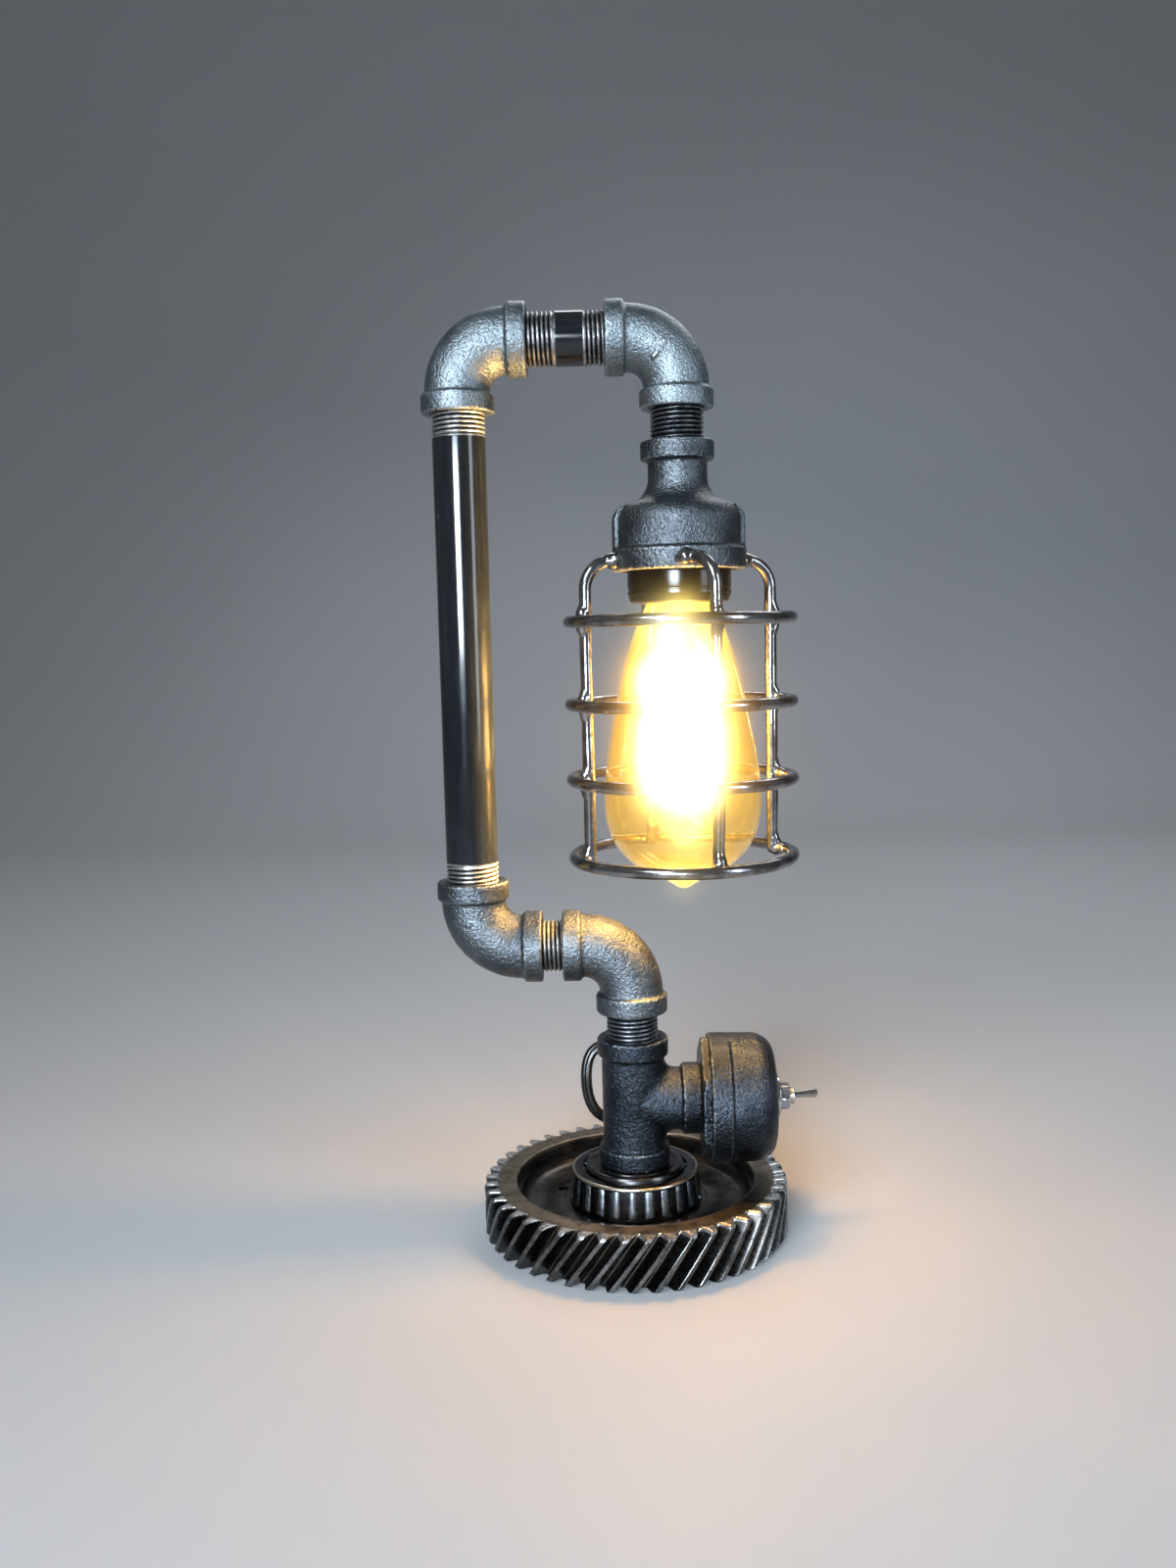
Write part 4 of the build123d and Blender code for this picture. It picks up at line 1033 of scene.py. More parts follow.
riser_len = riser_z1 - riser_z0
put(threaded_pipe("riser_pipe_turned", riser_len, [(ENG - 1.8, ENG + 8.0), (riser_len - ENG - 9.6, riser_len - ENG + 1.8)], "Z", (RX, 0, riser_z0), seg=128, per=12), "frame", RISER, "black_lacquer", "riser_pipe")
arm_len = arm_x1 - arm_x0
put(threaded_pipe("arm_nipple_turned", arm_len, [(ENG - 1.8, ENG + 11.6), (arm_len - ENG - 8.4, arm_len - ENG + 1.8)], "X", (arm_x0, 0, TOP_Z), seg=128, per=14), "frame", ARM, "thread_steel", "arm_nipple")
mid_x0 = RX + C2F - ENG
mid_len = (SX - C2F + ENG) - mid_x0
put(threaded_pipe("mid_nipple_turned", mid_len, [(ENG - 1.8, mid_len - ENG + 1.8)], "X", (mid_x0, 0, LOW_Z), seg=128, per=14), "frame", THREAD_MID, "thread_steel", "mid_nipple")
col_z0 = TEE_Z + 27.1 - ENG
col_len = (LOW_Z - C2F + ENG) - col_z0
put(threaded_pipe("column_nipple_turned", col_len, [(ENG - 1.8, col_len - ENG + 1.8)], "Z", (SX, 0, col_z0), seg=128, per=14), "base", THREAD_DARK, "thread_steel", "column_nipple")
head_z0 = 324.8 - ENG
head_len = (TOP_Z - C2F + ENG) - head_z0
put(threaded_pipe("head_nipple_turned", head_len, [(ENG - 1.8, head_len - ENG + 1.8)], "Z", (HX, 0, head_z0), seg=128, per=14), "head", THREAD_HEAD, "thread_steel", "head_nipple")
put(threaded_pipe("branch_nipple_turned", 25.4, [(ENG - 1.8, ENG + 1.8)], "X", (27.8 - ENG + SX, 0, TEE_Z), seg=96, per=10), "base", BRANCH, "thread_steel", "branch_nipple")
base_z1 = TEE_Z - 27.1 + ENG
put(threaded_pipe("base_nipple_turned", base_z1 - 1.0, [(1.5, 10.0)], "Z", (SX, 0, 1.0), seg=96, per=10), "base", THREAD_DARK, "thread_steel", "base_nipple")


# ---------------------------------------------------------------- gear foot
def make_gear():
    N, H, TW = 45, 21.5, 14.4
    ROOT, TIP, RIM, WLO, WHI = 57.6, 63.6, 49.9, 6.5, 12.0
    # half tooth: angle from its middle (degrees), radius
    half = [(0.0, TIP), (0.45, TIP), (0.80, TIP - 0.01), (0.97, TIP - 0.12), (1.10, TIP - 0.45), (1.38, 62.55), (1.72, 61.7), (2.03, 60.85), (2.32, 60.0), (2.60, 59.2), (2.86, 58.5), (3.14, 58.0), (3.5, 57.72), (4.0, ROOT)]
    prof = [(-a, r) for a, r in half[::-1]][1:] + half[1:]
    prof = prof[:-1] + [(4.0, ROOT)]
    ang, rad = np.array([p[0] for p in prof]), np.array([p[1] for p in prof])
    allang = np.concatenate([ang + 8.0 * i for i in range(N)])
    allrad = np.concatenate([rad] * N)
    M = len(allang)

    def tooth_row(z, shrink=0.0):
        """shrink pulls the flanks and lands in, for the chamfered edges."""
        off = -90.25 + 4.0 - TW * (H - z) / H
        r = allrad.copy()
        if shrink > 0:
            a = np.tile(np.abs(ang), N)
            r = np.interp(np.clip(a + math.degrees(shrink / 61.0), 0, 4.0), [h[0] for h in half], [h[1] for h in half])
        lim = TIP
        if z < 2.2:
            lim = min(lim, 62.3 + z)
        if z > H - 2.0:
            lim = min(lim, 64.5 - (z - (H - 2.0)))
        r = np.minimum(r, lim)
        t = np.radians(allang + off)
        return np.stack([r * np.cos(t), r * np.sin(t), np.full(M, z)], 1)

    def circle_row(r, z, ref=H):
        off = -90.25 + 4.0 - TW * (H - ref) / H
        t = np.radians(allang + off)
        return np.stack([r * np.cos(t), r * np.sin(t), np.full(M, z)], 1)

    rows = []
    # underside, from the hub hole outwards
    rows.append(circle_row(10.9, WLO + 0.2, 0))
    rows.append(circle_row(11.3, WLO, 0))
    for r in (20.0, 32.0, 42.0):
        rows.append(circle_row(r, WLO, 0))
    for k in range(1, 6):
        a = k / 5 * math.pi / 2
        rows.append(circle_row(42.5 + 4.6 * math.sin(a), WLO - 4.6 * (1 - math.cos(a)), 0))
    rows += [circle_row(48.6, 1.1, 0), circle_row(49.3, 0.35, 0), circle_row(49.9, 0.0, 0), circle_row(53.5, 0.0, 0), circle_row(56.3, 0.0, 0)]
    rows.append(tooth_row(0.0, 0.32))
    rows.append(tooth_row(0.35, 0.06))
    rows.append(tooth_row(0.6, 0.0))
    for z in np.linspace(1.3, H - 1.9, 17):
        rows.append(tooth_row(float(z)))
    rows.append(tooth_row(H - 1.2, 0.0))
    rows.append(tooth_row(H - 0.75, 0.0))
    rows.append(tooth_row(H - 0.35, 0.12))
    rows.append(tooth_row(H - 0.1, 0.34))
    rows.append(tooth_row(H - 0.0, 0.46))
    rows += [circle_row(56.6, H), circle_row(54.0, H), circle_row(51.6, H), circle_row(50.5, H), circle_row(50.0, H - 0.12), circle_row(49.72, H - 0.5)]
    rows += [circle_row(49.35, H - 2.5), circle_row(48.85, H - 5.0)]
    for k in range(6):
        a = math.pi / 2 * (1 - k / 5)
        rows.append(circle_row(43.6 + 4.6 * math.sin(a), WHI + 4.6 * (1 - math.cos(math.pi / 2 - (math.pi / 2 - a))) if False else WHI + 4.6 - 4.6 * math.sin(math.pi / 2 - a) if False else WHI + 4.6 * (1 - math.sin(k / 5 * math.pi / 2))))
    rows += [circle_row(41.0, WHI), circle_row(36.0, WHI), circle_row(35.5, WHI + 0.25), circle_row(30.0, WHI + 0.25), circle_row(29.6, WHI), circle_row(20.0, WHI), circle_row(11.3, WHI), circle_row(10.9, WHI - 0.2)]
    V = np.concatenate(rows)
    V[:, 0] += SX
    ob = mesh_obj("gear_foot", V, grid_faces(M, len(rows), True, True), 32)
    # the small hole through the web
    cut = lathe("cutter", [(0, 0), (2.4, 0), (2.4, 20), (0, 20)], 32, "Z", (-30.9 + SX, 9.1, 0), 30)
    b = ob.modifiers.new("hole", "BOOLEAN")
    b.object = cut
    b.operation = "DIFFERENCE"
    b.solver = "EXACT"
    apply_modifiers(ob)
    bpy.data.objects.remove(cut)
    ob.data.shade_smooth()
    ob.data.set_sharp_from_angle(angle=math.radians(32))
    return ob


put(make_gear(), "base", GEAR, "gear_steel", "gear_base")
put(lathe("base_washer_turned", [(10.9, 4.9, 0.15), (19.0, 4.9, 0.3), (19.0, 6.5, 0.3), (10.9, 6.5, 0.15)], 96, "Z", (SX, 0, 0)), "base", ZINC, "zinc_steel", "base_washer")
bevelled("base_locknut", "base", ZINC, 0.35, 3)


# ---------------------------------------------------------------- bearing
def make_bearing():
    TOP = TEE_Z - 27.1
    tilt = math.tan(math.radians(4.5))

    def race(z):
        return 24.2 + (19.1 - z) * tilt - (2.8 + (2.55 - 2.8) * (z - 13.6) / 11.0) / math.cos(math.radians(4.5)) - 0.06
    prof = [(13.0, 12.0, 0.4), (24.0, 12.0, 0.3), (24.45, 12.5, 0.2), (24.15, 13.35, 0.1), (race(13.35) - 0.35, 13.35, 0.1), (race(13.7), 13.9, 0.1),
            (race(24.6), 24.6, 0.1), (race(25.6) - 0.3, 25.6, 0.15), (20.6, 26.5, 0.3), (20.1, 27.45, 0.35), (19.2, TOP, 0.3), (17.6, TOP, 0.15), (17.2, TOP - 0.45, 0.15), (16.5, TOP - 0.45, 0.15),
            (16.2, TOP, 0.15), (13.5, TOP, 0.3), (13.0, TOP - 0.6, 0.2)]
    put(lathe("bearing_cone_ground", prof, 160, "Z", (SX, 0, 0), 30), "base", CONE_STEEL, "bearing_steel", "bearing_cone")
    # rollers
    V, F, base = [], [], 0
    n = 28
    th = np.linspace(0, 2 * math.pi, n, endpoint=False)
    prof = round_profile([(0, -5.5), (2.8, -5.5, 0.35), (2.55, 5.5, 0.35), (0, 5.5)], 4)
    for k in range(24):
        a = math.radians(-90 + 11 + 15 * k)
        L = np.stack([np.array([[p[0] * math.cos(t), p[0] * math.sin(t), p[1]] for t in th]) for p in prof]).reshape(-1, 3)
        tl = math.radians(-4.5)
        x = L[:, 0] * math.cos(tl) + L[:, 2] * math.sin(tl)
        z = -L[:, 0] * math.sin(tl) + L[:, 2] * math.cos(tl)
        x = x + 24.2
        V.append(np.stack([x * math.cos(a) - L[:, 1] * math.sin(a) + SX, x * math.sin(a) + L[:, 1] * math.cos(a), z + 19.1], 1))
        F.append(grid_faces(n, len(prof), True, False, base))
        base += len(L)
    put(mesh_obj("bearing_rollers_ground", np.concatenate(V), np.concatenate(F), 32), "roller_cage", ROLLER, "roller_steel", "bearing_rollers")
    # pressed cage: a cone with a flange and 24 windows
    zlo, zhi = 12.35, 25.95
    win_lo, win_hi = 13.7, 24.55
    per = 16
    na = 24 * per
    half_w = 2.16
    zr = [zlo, 12.8, 13.25, win_lo, win_lo + 0.45, win_lo + 1.0, 16.5, 19.2, 21.9, win_hi - 1.0, win_hi - 0.45, win_hi, 25.0, 25.4]
    V, idx = [], []

    def outer(z):
        return 27.85 - (z - zlo) * (27.85 - 26.55) / (zhi - zlo)
    offs = np.array([-7.5, -6.6, -5.7, -5.05, -4.62, -4.2, -3.6, -2.0, 0.0, 2.0, 3.6, 4.2, 4.62, 5.05, 5.7, 6.6])
    for z in zr:
        for k in range(24):
            for o in offs:
                a = math.radians(-90 + 11 + 15 * k + o)
                V.append((outer(z) * math.cos(a) + SX, outer(z) * math.sin(a), z))
    # turned-in top flange
    top_rows = [(outer(25.7) - 0.12, 25.72), (outer(25.9) - 0.5, 25.92), (25.2, 25.95), (23.4, 25.95), (21.9, 25.95)]
    for r, z in top_rows:
        for k in range(24):
            for o in offs:
                a = math.radians(-90 + 11 + 15 * k + o)
                V.append((r * math.cos(a) + SX, r * math.sin(a), z))
    nr = len(zr) + len(top_rows)
    Fs = []
    lo_i, hi_i = zr.index(win_lo), zr.index(win_hi)
    for j in range(nr - 1):
        for i in range(na):
            o = i % per
            inside = False
            if lo_i <= j < hi_i:
                if 4 <= o < 12:
                    inside = True
                # rounded window corners: leave the outermost cells in the end rows
                if inside and j in (lo_i, hi_i - 1) and o in (4, 11):
                    inside = False
            if not inside:
                Fs.append((j * na + i, j * na + (i + 1) % na, (j + 1) * na + (i + 1) % na, (j + 1) * na + i))
    me = bpy.data.meshes.new("bearing_cage_pressed")
    me.from_pydata((np.array(V) * MM).tolist(), [], [list(f) for f in Fs])
    ob = link(bpy.data.objects.new("bearing_cage_pressed", me))
    bm = bmesh.new()
    bm.from_mesh(me)
    loose = [v for v in bm.verts if not v.link_faces]
    bmesh.ops.delete(bm, geom=loose, context="VERTS")
    bmesh.ops.recalc_face_normals(bm, faces=bm.faces)
    bm.to_mesh(me)
    bm.free()
    so = ob.modifiers.new("t", "SOLIDIFY")
    so.thickness = 0.95 * MM
    so.offset = -1
    so.use_even_offset = True
    be = ob.modifiers.new("b", "BEVEL")
    be.width = 0.14 * MM
    be.segments = 2
    be.limit_method = "ANGLE"
    be.angle_limit = math.radians(40)
    apply_modifiers(ob)
    finish_mesh(ob, 36)
    put(ob, "roller_cage", CAGE_STEEL, "bearing_cage_steel", "bearing_cage")


make_bearing()


# ---------------------------------------------------------------- switch
def make_switch():
    seat = 59.3 - 0.2 + SX
    put(lathe("switch_washer_turned", [(3.62, 0), (8.4, 0, 0.2), (8.4, 1.9, 0.35), (3.62, 1.9, 0.1)], 96, "X", (seat, 0, TEE_Z)), "base", CHROME, "chrome", "switch_washer")
    # hexagon nut with chamfered corners
    n = 96
    th = np.linspace(0, 2 * math.pi, n, endpoint=False)
    af = 9.9 / 2
    hexr = np.array([af / math.cos(((t + math.pi / 6) % (math.pi / 3)) - math.pi / 6) for t in th])
    hexr = np.minimum(hexr, af / math.cos(math.pi / 6) - 0.12)
    x0 = seat + 1.9
    rows = []
    for x, lim in ((0.0, 5.05), (0.12, 5.25), (0.5, 5.6), (3.6, 5.6), (3.95, 5.35), (4.2, 5.0), (4.3, 4.8)):
        rr = np.minimum(hexr, lim)
        rows.append(np.stack([rr * np.cos(th), rr * np.sin(th), np.full(n, x)], 1))
    for r, x in ((3.95, 4.3), (3.58, 4.0), (3.58, 0.3), (3.9, 0.0)):
        rows.append(np.stack([r * np.cos(th), r * np.sin(th), np.full(n, x)], 1))
    put(mesh_obj("switch_nut_turned", place(np.concatenate(rows), "X", (x0, 0, TEE_Z)), grid_faces(n, len(rows)), 30), "base", CHROME, "chrome", "switch_nut")
    # threaded bushing
    xa, xb = 31.3 + 24.6 + SX, 67.4 + SX
    L = xb - xa
    ob = threaded_pipe("switch_bushing_turned", L, [(0.5, L - 0.5)], "X", (xa, 0, TEE_Z), r=3.5, ir=2.62, depth=0.32, seg=64, per=8, pitch=0.75, cham=0.4)
    put(ob, "base", CHROME, "chrome", "switch_bushing")
    # bat lever
    tilt = math.radians(12.0)
    prof = [(0, -7.6), (0.85, -7.6, 0.3), (0.85, -2.4, 0.3), (2.0, -1.6, 0.4), (2.36, 0.0, 0.8), (2.0, 1.5, 0.5), (1.2, 2.2, 0.3), (1.2, 4.4), (1.42, 7.0), (1.68, 11.0), (1.92, 14.0), (1.92, 14.6, 0.4), (1.70, 15.25, 0.4), (1.15, 15.75, 0.3), (0, 15.9)]
    lv = lathe("switch_lever_turned", prof, 48, "X", (0, 0, 0), 40, arc_n=5)
    lv.data.transform(Matrix.Rotation(tilt, 4, "Z"))
    lv.data.transform(Matrix.Translation(Vector((62.0 + SX, 0, TEE_Z)) * MM))
    put(lv, "lever", NICKEL, "chrome", "switch_lever")
    bevelled("switch_housing", "base", PHENOLIC, 0.2)
    bevelled("switch_rocker", "rocker", BRASS, 0.12)
    bevelled("switch_terminals", "base", BRASS, 0.1)


make_switch()


# ---------------------------------------------------------------- socket and bulb
def make_socket():
    lo, hi = 260.8, 273.9
    prof = [(15.0, lo, 0.3), (18.6, lo, 0.5), (19.8, lo + 0.7, 0.6), (20.5, lo + 2.4, 0.5), (20.6, lo + 3.2, 0.2), (20.9, lo + 3.5, 0.2), (20.9, lo + 4.9, 0.2), (20.55, lo + 5.2, 0.15), (20.55, lo + 5.7, 0.15), (20.9, lo + 6.0, 0.2),
            (20.9, hi, 0.2), (17.4, hi, 0.2), (17.4, lo + 3.0, 0.4), (15.0, lo + 2.0, 0.3)]
    put(lathe("socket_skirt_moulded", prof, 128, "Z", (HX, 0, 0), 32), "head", PHENOLIC, "black_phenolic", "socket_skirt")
    prof = [(17.4, 273.9), (20.9, 273.9, 0.2), (20.9, 286.0, 0.5), (19.2, 287.2, 0.4), (17.4, 290.8, 1.0), (14.5, 292.6, 0.8), (9.0, 294.2, 0.6), (9.0, 299.0, 0.4), (4.0, 299.0, 0.3), (4.0, 292.4, 0.3), (14.2, 290.8, 0.5), (17.4, 287.0, 0.5)]
    put(lathe("socket_body_moulded", prof, 96, "Z", (HX, 0, 0), 32), "head", PHENOLIC, "black_phenolic", "socket_body")
    bevelled("socket_insert", "head", CERAMIC, 0.4)
    bevelled("socket_contact", "head", BRASS, 0.1)
    bevelled("socket_screws", "head", ZINC, 0.15)
    # screw shell with a rolled thread
    n, rows = 96, []
    th = np.linspace(0, 2 * math.pi, n, endpoint=False)
    zs = np.linspace(262.9, 284.0, 72)
    for z in zs:
        env = min(1.0, max(0.0, (z - 264) / 2), max(0.0, (283 - z) / 2))
        rr = 13.62 + 0.16 * env * np.sin(2 * math.pi * (z / 3.629) - th)
        rows.append(np.stack([rr * np.cos(th), rr * np.sin(th), np.full(n, z)], 1))
    for z in zs[::-1]:
        env = min(1.0, max(0.0, (z - 264) / 2), max(0.0, (283 - z) / 2))
        rr = 13.30 + 0.14 * env * np.sin(2 * math.pi * (z / 3.629) - th)
        rows.append(np.stack([rr * np.cos(th), rr * np.sin(th), np.full(n, z)], 1))
    V = np.concatenate(rows)
    V[:, 0] += HX
    put(mesh_obj("socket_shell_rolled", V, grid_faces(n, len(rows)), 50), "head", BRASS, "brass", "socket_shell")


make_socket()


def smooth_curve(pts, n):
    """Monotone-parameter cubic through the points (Catmull-Rom by chord)."""
    P = np.array(pts, float)
    d = np.concatenate([[0], np.cumsum(np.linalg.norm(np.diff(P, axis=0), axis=1) ** 0.5)])
    M = np.zeros_like(P)
    for i in range(1, len(P) - 1):
        M[i] = (P[i + 1] - P[i - 1]) / (d[i + 1] - d[i - 1])
    M[0] = (P[1] - P[0]) / (d[1] - d[0])
    M[0][1] = 0
    M[-1] = (P[-1] - P[-2]) / (d[-1] - d[-2])
    out = []
    for t in np.linspace(0, d[-1], n):
        i = min(len(P) - 2, int(np.searchsorted(d, t, "right") - 1))
        h = d[i + 1] - d[i]
        u = (t - d[i]) / h
        a = (1 + 2 * u) * (1 - u) ** 2
        b = u * (1 - u) ** 2
        c = u * u * (3 - 2 * u)
        e = u * u * (u - 1)
        out.append(a * P[i] + b * h * M[i] + c * P[i + 1] + e * h * M[i + 1])
    return np.array(out)


def make_bulb():
    tip = 144.1
    pts = [(0.0, tip), (2.4, 144.7), (4.6, 146.1), (9.0, 148.7), (16.0, 151.8), (23.5, 157.3), (29.0, 165.0), (31.6, 174.0), (32.0, 183.0), (31.0, 195.0), (28.4, 211.0), (25.2, 226.0), (21.6, 240.0), (17.6, 251.5), (14.6, 258.0), (12.7, 262.6), (12.4, 265.0), (12.3, 267.6)]
    out = smooth_curve(pts, 150)
    out[:, 0] = np.maximum(out[:, 0], 0)
    # inner skin: offset along the normal
    tg = np.gradient(out, axis=0)
    nr = np.stack([-tg[:, 1], tg[:, 0]], 1)
    nr /= np.linalg.norm(nr, axis=1)[:, None]
    inner = out + nr * 0.85
    inner[:, 0] = np.maximum(inner[:, 0], 0)
    inner[0] = (0, tip + 0.85)
    prof = [tuple(p) for p in out] + [tuple(p) for p in inner[::-1]]
    n = 144
    th = np.linspace(0, 2 * math.pi, n, endpoint=False)
    V = np.concatenate([np.stack([r * np.cos(th) + HX, r * np.sin(th), np.full(n, z)], 1) for r, z in prof])
    F = grid_faces(n, len(prof), True, False)
    ob = mesh_obj("bulb_glass_blown", V, F, 60, 2e-7)
    put(ob, "bulb", AMBER, "amber_glass", "bulb_glass")
    ob.visible_shadow = False
    # rolled cap thread
    rows = []
    n = 96
    th = np.linspace(0, 2 * math.pi, n, endpoint=False)
    zs = np.linspace(261.4, 281.3, 60)
    for z in zs:
        env = min(1.0, max(0.0, (z - 263) / 2), max(0.0, (280.5 - z) / 2))
        rr = 12.85 + 0.16 * env * np.sin(2 * math.pi * (z / 3.629) - th)
        rows.append(np.stack([rr * np.cos(th), rr * np.sin(th), np.full(n, z)], 1))
    for r, z in ((9.2, 282.4), (9.2, 281.9), (12.1, 280.8), (12.5, 268.1), (12.5, 261.4)):
        rows.append(np.stack([r * np.cos(th), r * np.sin(th), np.full(n, z)], 1))
    V = np.concatenate(rows)
    V[:, 0] += HX
    put(mesh_obj("bulb_cap_rolled", V, grid_faces(n, len(rows)), 50), "bulb", LAMPCAP, "lamp_cap", "bulb_base")


make_bulb()


def cad(node, mat):
    ob = NODES[node]
    ob.data.materials.clear()
    ob.data.materials.append(mat)
    ob.data.shade_smooth()
    ob.data.set_sharp_from_angle(angle=math.radians(30))


def recolour(node, mat):
    """A CAD node that stays as it is and gets its own material."""
    ob = NODES[node]
    if not len(ob.material_slots):
        ob.data.materials.append(mat)
    for s in ob.material_slots:
        s.material = mat


recolour("bulb_insulator", VITRITE)
recolour("bulb_contact", LAMPCAP)
recolour("bulb_stem", CLEAR)
recolour("bulb_supports", SUPPORT)
recolour("bulb_filament", GLOW)
for nm in ("wires_base", "wires_switch", "wires_frame", "wires_head"):
    recolour(nm, SLEEVE)
NODES["bulb_stem"].visible_shadow = False


# ---------------------------------------------------------------- guard cage
def make_cage():
    root_r, root_z, rc, wr, ringc = 27.15, RED_BOT + 4.2, 39.8, 2.5, 44.86
    zs = (254.2, 220.8, 189.9, 158.0)
    names = ("right", "back", "left", "front")
    for k in range(4):
        g = np.random.default_rng(100 + k)
        ang = math.radians(17 + 90 * k)
        turn = math.radians(-15.0 if k == 3 else 0.0)
        ct, st = math.cos(turn), math.sin(turn)
        P = fillet_path([((root_r - 0.6) * ct, (root_r - 0.6) * st, root_z), (rc, 0, root_z), (rc, 0, 158.3)], [11.6], 0.8)
        s = np.linspace(0, 1, len(P))
        wob = 0.22 * np.sin(s * 9 + g.uniform(0, 6)) + 0.12 * np.sin(s * 23 + g.uniform(0, 6))
        P = P.copy()
        P[:, 1] += wob * np.clip(s * 6, 0, 1)
        R = wr * (0.985 + 0.02 * np.sin(s * 31 + g.uniform(0, 6)))
        tube = tube_mesh("rod_tmp", P, R, seg=28)
        bits = [tube]

        def blob(c, rad, scale=(1, 1, 1)):
            bm = bmesh.new()
            bmesh.ops.create_icosphere(bm, subdivisions=3, radius=rad * MM)
            me = bpy.data.meshes.new("blob")
            bm.to_mesh(me)
            bm.free()
            o = link(bpy.data.objects.new("blob", me))
            me.transform(Matrix.Diagonal((*scale, 1)))
            me.transform(Matrix.Translation(Vector(c) * MM))
            bits.append(o)
        for z in zs:
            x = ringc - wr - 0.35
            j = lambda a: g.uniform(-a, a)
            last = z < 160
            blob((x - 0.3, j(0.3), z + j(0.2)), 3.0)
            for sgn in (-1, 1):
                if not (last and sgn < 0):
                    blob((x - 0.9 + j(0.15), j(0.35), z + sgn * (2.5 + j(0.4))), 2.7 + j(0.12), (0.95, 1.0, 1.15))
                    blob((x - 1.6, j(0.2), z + sgn * (4.4 + j(0.4))), 2.56, (0.97, 0.98, 1.2))
                y = sgn * (2.9 + j(0.4))
                blob((x + 0.7, y, z + j(0.25)), 2.35, (0.9, 1.25, 0.95))
        def root(x, y, z, rad):
            blob((x * ct - y * st, x * st + y * ct, z), rad)
        root(root_r + 0.7, j(0.4), root_z + j(0.3), 3.5)
        root(root_r + 0.2, 2.1 + j(0.5), root_z + 0.8, 2.3)
        root(root_r + 0.2, -2.2 + j(0.5), root_z - 0.6, 2.2)
        root(root_r + 2.3, j(0.3), root_z - 0.1, 2.95)
        me = bpy.data.meshes.new("cage_rod")
        bm = bmesh.new()
        for o in bits:
            bm.from_mesh(o.data)
        bm.to_mesh(me)
        bm.free()
        for o in bits:
            bpy.data.objects.remove(o)
        ob = link(bpy.data.objects.new("cage_rod_%s_welded" % names[k], me))
        remeshed(ob, 0.42, 5, 0.5)
        me = ob.data
        co, no = coords(me) / MM, vnormals(me)
        near = np.min(np.abs(co[:, 2][:, None] - np.array(zs + (root_z,))[None, :]), axis=1)
        w = np.clip(1 - near / 6.5, 0, 1)
        d = 0.11 * w * value_noise(co + 17 * k, 1.7, 5 + k) + 0.05 * value_noise(co, 8.0, 9 + k)
        co = co + no * d[:, None]
        # the root is cut to the round of the band
        rr = np.hypot(co[:, 0], co[:, 1])
        inside = rr < 26.75
        co[inside, 0] *= 26.75 / rr[inside]
        co[inside, 1] *= 26.75 / rr[inside]
        x = co[:, 0] * math.cos(ang) - co[:, 1] * math.sin(ang) + HX
        y = co[:, 0] * math.sin(ang) + co[:, 1] * math.cos(ang)
        set_coords(me, np.stack([x, y, co[:, 2]], 1) * MM)
        me.shade_smooth()
        put(ob, "head", WIRE, "polished_steel", "cage_rod_%s" % names[k])
    for i, z in enumerate(zs):
        g = np.random.default_rng(200 + i)
        n = 220
        t = np.linspace(0, 2 * math.pi, n, endpoint=False)
        r = ringc + 0.10 * np.sin(2 * t + g.uniform(0, 6)) + 0.07 * np.sin(5 * t + g.uniform(0, 6))
        zz = z + 0.16 * np.sin(t + g.uniform(0, 6)) + 0.10 * np.sin(3 * t + g.uniform(0, 6))
        P = np.stack([HX + r * np.cos(t), r * np.sin(t), zz], 1)
        R = wr * (0.985 + 0.015 * np.sin(9 * t + g.uniform(0, 6)))
        ob = tube_mesh("cage_ring_%d_bent" % (i + 1), P, R, seg=28, closed=True)
        put(ob, "head", WIRE, "polished_steel", "cage_ring_%d" % (i + 1))


make_cage()


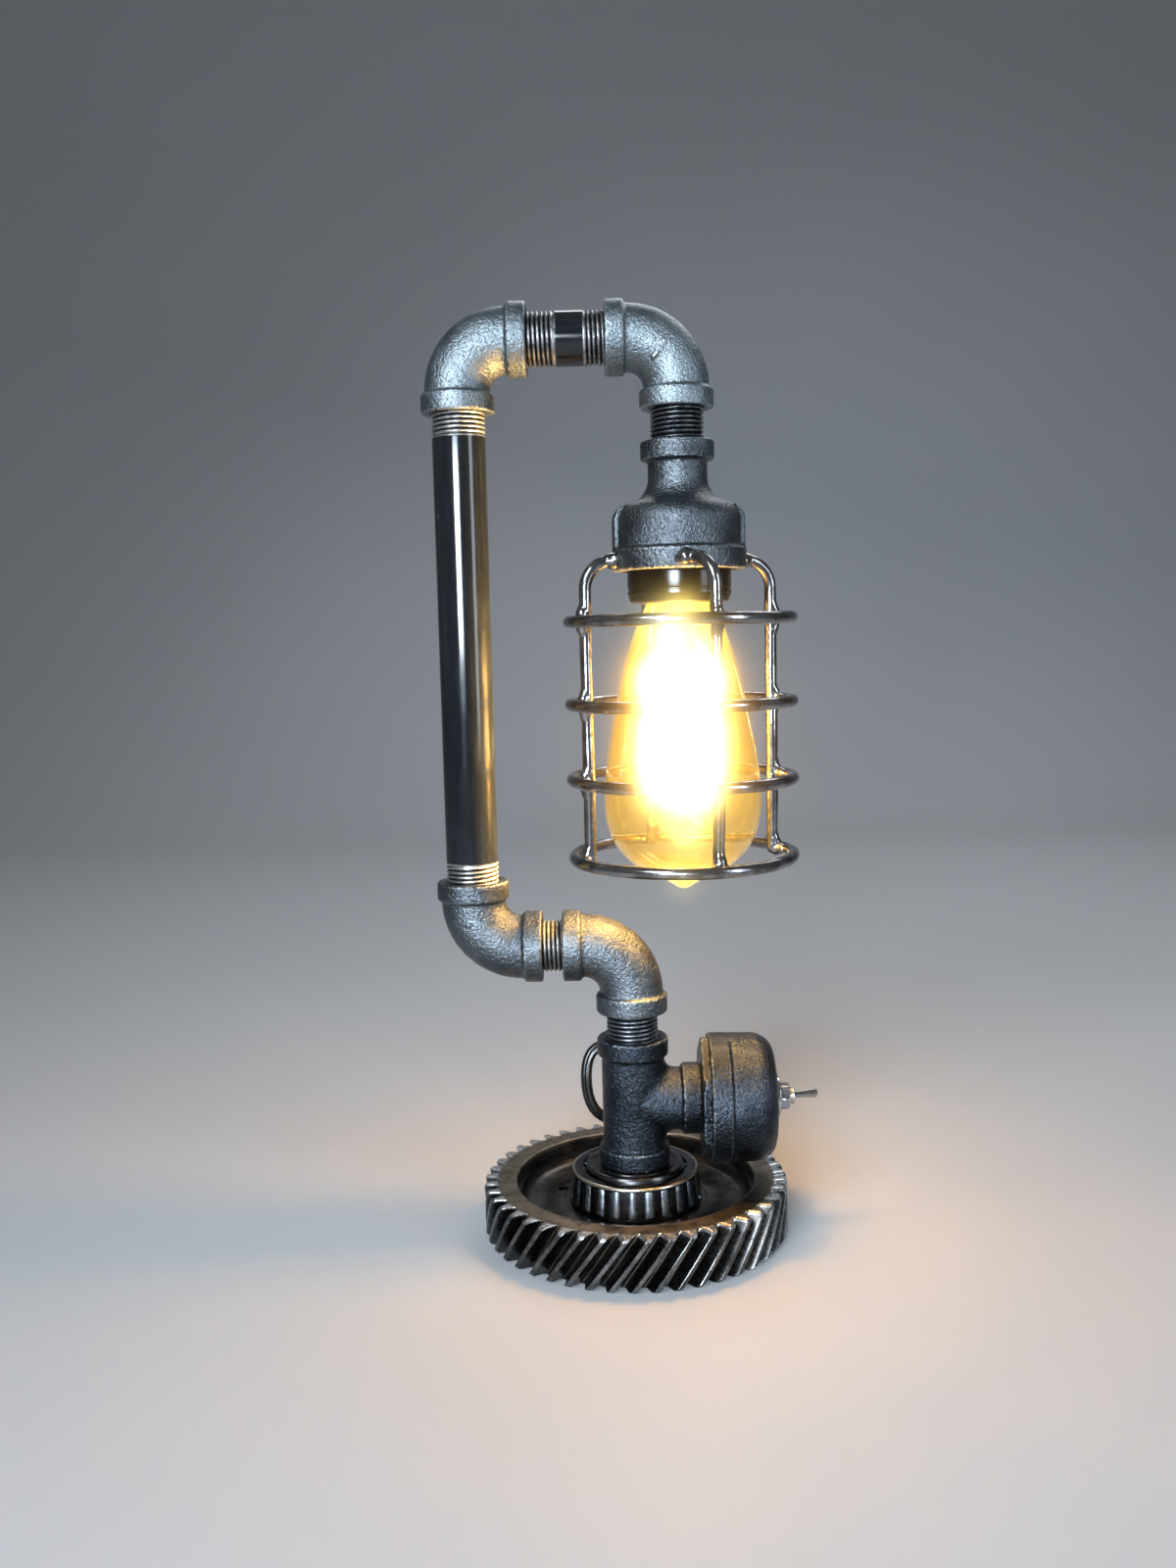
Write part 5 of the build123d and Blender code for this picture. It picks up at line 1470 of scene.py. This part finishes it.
# ---------------------------------------------------------------- floor, light
def make_stage():
    m = Mat("floor_plain")
    n = m.noise(300.0, 2.0, 0.5)
    m.set("Base Color", m.mix(n, (0.37, 0.372, 0.378), (0.40, 0.402, 0.408)))
    m.set("Roughness", 0.62)
    # floor that rises into a backdrop
    pts = []
    ys = [-3.0, 0.0, 1.1] + [1.1 + 0.9 * math.sin(a) for a in np.linspace(0.1, math.pi / 2, 14)] + [2.0, 2.0]
    zs = [0.0, 0.0, 0.0] + [0.9 * (1 - math.cos(a)) for a in np.linspace(0.1, math.pi / 2, 14)] + [2.0, 4.5]
    V, F = [], []
    for y, z in zip(ys, zs):
        V.append((-4.0, y, z))
        V.append((4.0, y, z))
    for i in range(len(ys) - 1):
        F.append((2 * i, 2 * i + 1, 2 * i + 3, 2 * i + 2))
    me = bpy.data.meshes.new("floor")
    me.from_pydata(V, [], F)
    me.shade_smooth()
    ob = link(bpy.data.objects.new("floor", me))
    me.materials.append(m.m)
    ob.location.z = -0.0002

    w = bpy.data.worlds.new("studio")
    scene.world = w
    w.use_nodes = True
    bg = w.node_tree.nodes["Background"]
    bg.inputs[0].default_value = (0.78, 0.87, 1.0, 1)
    bg.inputs[1].default_value = 0.20

    def area(name, loc, target, size, energy, color):
        li = bpy.data.lights.new(name, "AREA")
        li.shape = "RECTANGLE"
        li.size, li.size_y = size
        li.energy = energy
        li.color = color
        o = link(bpy.data.objects.new(name, li))
        o.location = loc
        o.rotation_euler = (Vector(target) - Vector(loc)).to_track_quat("-Z", "Y").to_euler()
        return o
    area("key", (-0.55, -0.95, 0.95), (0, 0, 0.22), (0.42, 0.42), 14, (0.84, 0.92, 1.0))
    low = area("front", (-0.30, -1.25, 0.36), (0, 0, 0.12), (0.45, 0.25), 3.2, (0.76, 0.88, 1.0))
    low.data.spread = math.radians(50)
    area("fill", (0.95, -0.70, 0.50), (0, 0, 0.15), (0.30, 0.8), 6.5, (0.78, 0.89, 1.0))
    area("back", (0.3, 1.0, 1.2), (0, 0.2, 0.2), (1.2, 0.5), 8, (0.95, 0.97, 1.0))

    # the lamp's own light, in three places along the filament; the weaker set also warms the floor
    def lit(name, *left_out):
        c = bpy.data.collections.new(name)
        for o in scene.objects:
            if o.name.startswith(left_out):
                c.objects.link(o)
        for o in c.collection_objects:
            o.light_linking.link_state = "EXCLUDE"
        return c
    riser = bpy.data.collections.new("lit_riser")
    for o in scene.objects:
        if o.name.startswith("riser"):
            riser.objects.link(o)
    for watts, only in ((0.22, None), (0.60, lit("lit_lamp", "floor")), (1.45, lit("lit_castings", "floor", "gear", "bearing", "cage")), (3.8, riser)):
        for i, z in enumerate((228, 208, 188)):
            li = bpy.data.lights.new("bulb_light_%d" % i, "POINT")
            li.energy = watts
            li.color = (1.0, 0.60, 0.22) if only is riser else (1.0, 0.55, 0.18)
            li.shadow_soft_size = 0.012
            o = link(bpy.data.objects.new("bulb_light_%d" % i, li))
            o.location = (HX * MM, 0, z * MM)
            o.visible_camera = False
            o.visible_transmission = False
            if only:
                o.light_linking.receiver_collection = only
            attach(o, "bulb")


make_stage()



def make_bloom():
    """The bright filament blooms over the glass, as it does in any lens."""
    scene.use_nodes = True
    nt = scene.node_tree
    nt.nodes.clear()
    seen = bpy.context.view_layer.aovs.add()
    seen.name = "in_bulb"
    seen.type = "VALUE"
    mark = AMBER.node_tree.nodes.new("ShaderNodeOutputAOV")
    mark.aov_name = "in_bulb"
    mark.inputs["Value"].default_value = 1.0
    rl = nt.nodes.new("CompositorNodeRLayers")
    out = nt.nodes.new("CompositorNodeComposite")
    g = nt.nodes.new("CompositorNodeGlare")
    g.glare_type = "BLOOM"
    g.quality = "HIGH"
    g.inputs["Threshold"].default_value = 2.2
    g.inputs["Smoothness"].default_value = 0.3
    inside = nt.nodes.new("CompositorNodeMixRGB")
    inside.blend_type = "MULTIPLY"
    nt.links.new(rl.outputs["Image"], inside.inputs[1])
    nt.links.new(rl.outputs["in_bulb"], inside.inputs[2])
    nt.links.new(inside.outputs[0], g.inputs["Image"])
    last = rl.outputs["Image"]
    for size, tint in ((2.8, (3.2, 5.1, 10.5)), (5.6, (1.0, 1.28, 1.15)), (14.0, (0.07, 0.075, 0.04))):
        px = nt.nodes.new("CompositorNodeRelativeToPixel")
        px.data_type = "VECTOR"
        px.reference_dimension = "X"
        bl = nt.nodes.new("CompositorNodeBlur")
        bl.filter_type = "GAUSS"
        for i in px.inputs:
            if i.name == "Image":
                nt.links.new(rl.outputs["Image"], i)
            elif i.type == "VECTOR":
                for k in range(len(i.default_value)):
                    i.default_value[k] = size / 100
        nt.links.new([o for o in px.outputs if o.type == "VECTOR"][0], bl.inputs["Size"])
        nt.links.new(g.outputs["Highlights"], bl.inputs["Image"])
        mul = nt.nodes.new("CompositorNodeMixRGB")
        mul.blend_type = "MULTIPLY"
        mul.inputs[2].default_value = (*tint, 1)
        nt.links.new(bl.outputs[0], mul.inputs[1])
        add = nt.nodes.new("CompositorNodeMixRGB")
        add.blend_type = "ADD"
        nt.links.new(last, add.inputs[1])
        nt.links.new(mul.outputs[0], add.inputs[2])
        last = add.outputs[0]
    nt.links.new(last, out.inputs["Image"])


make_bloom()
scene.view_settings.view_transform = "Standard"
scene.view_settings.exposure = -0.15
bpy.context.view_layer.update()
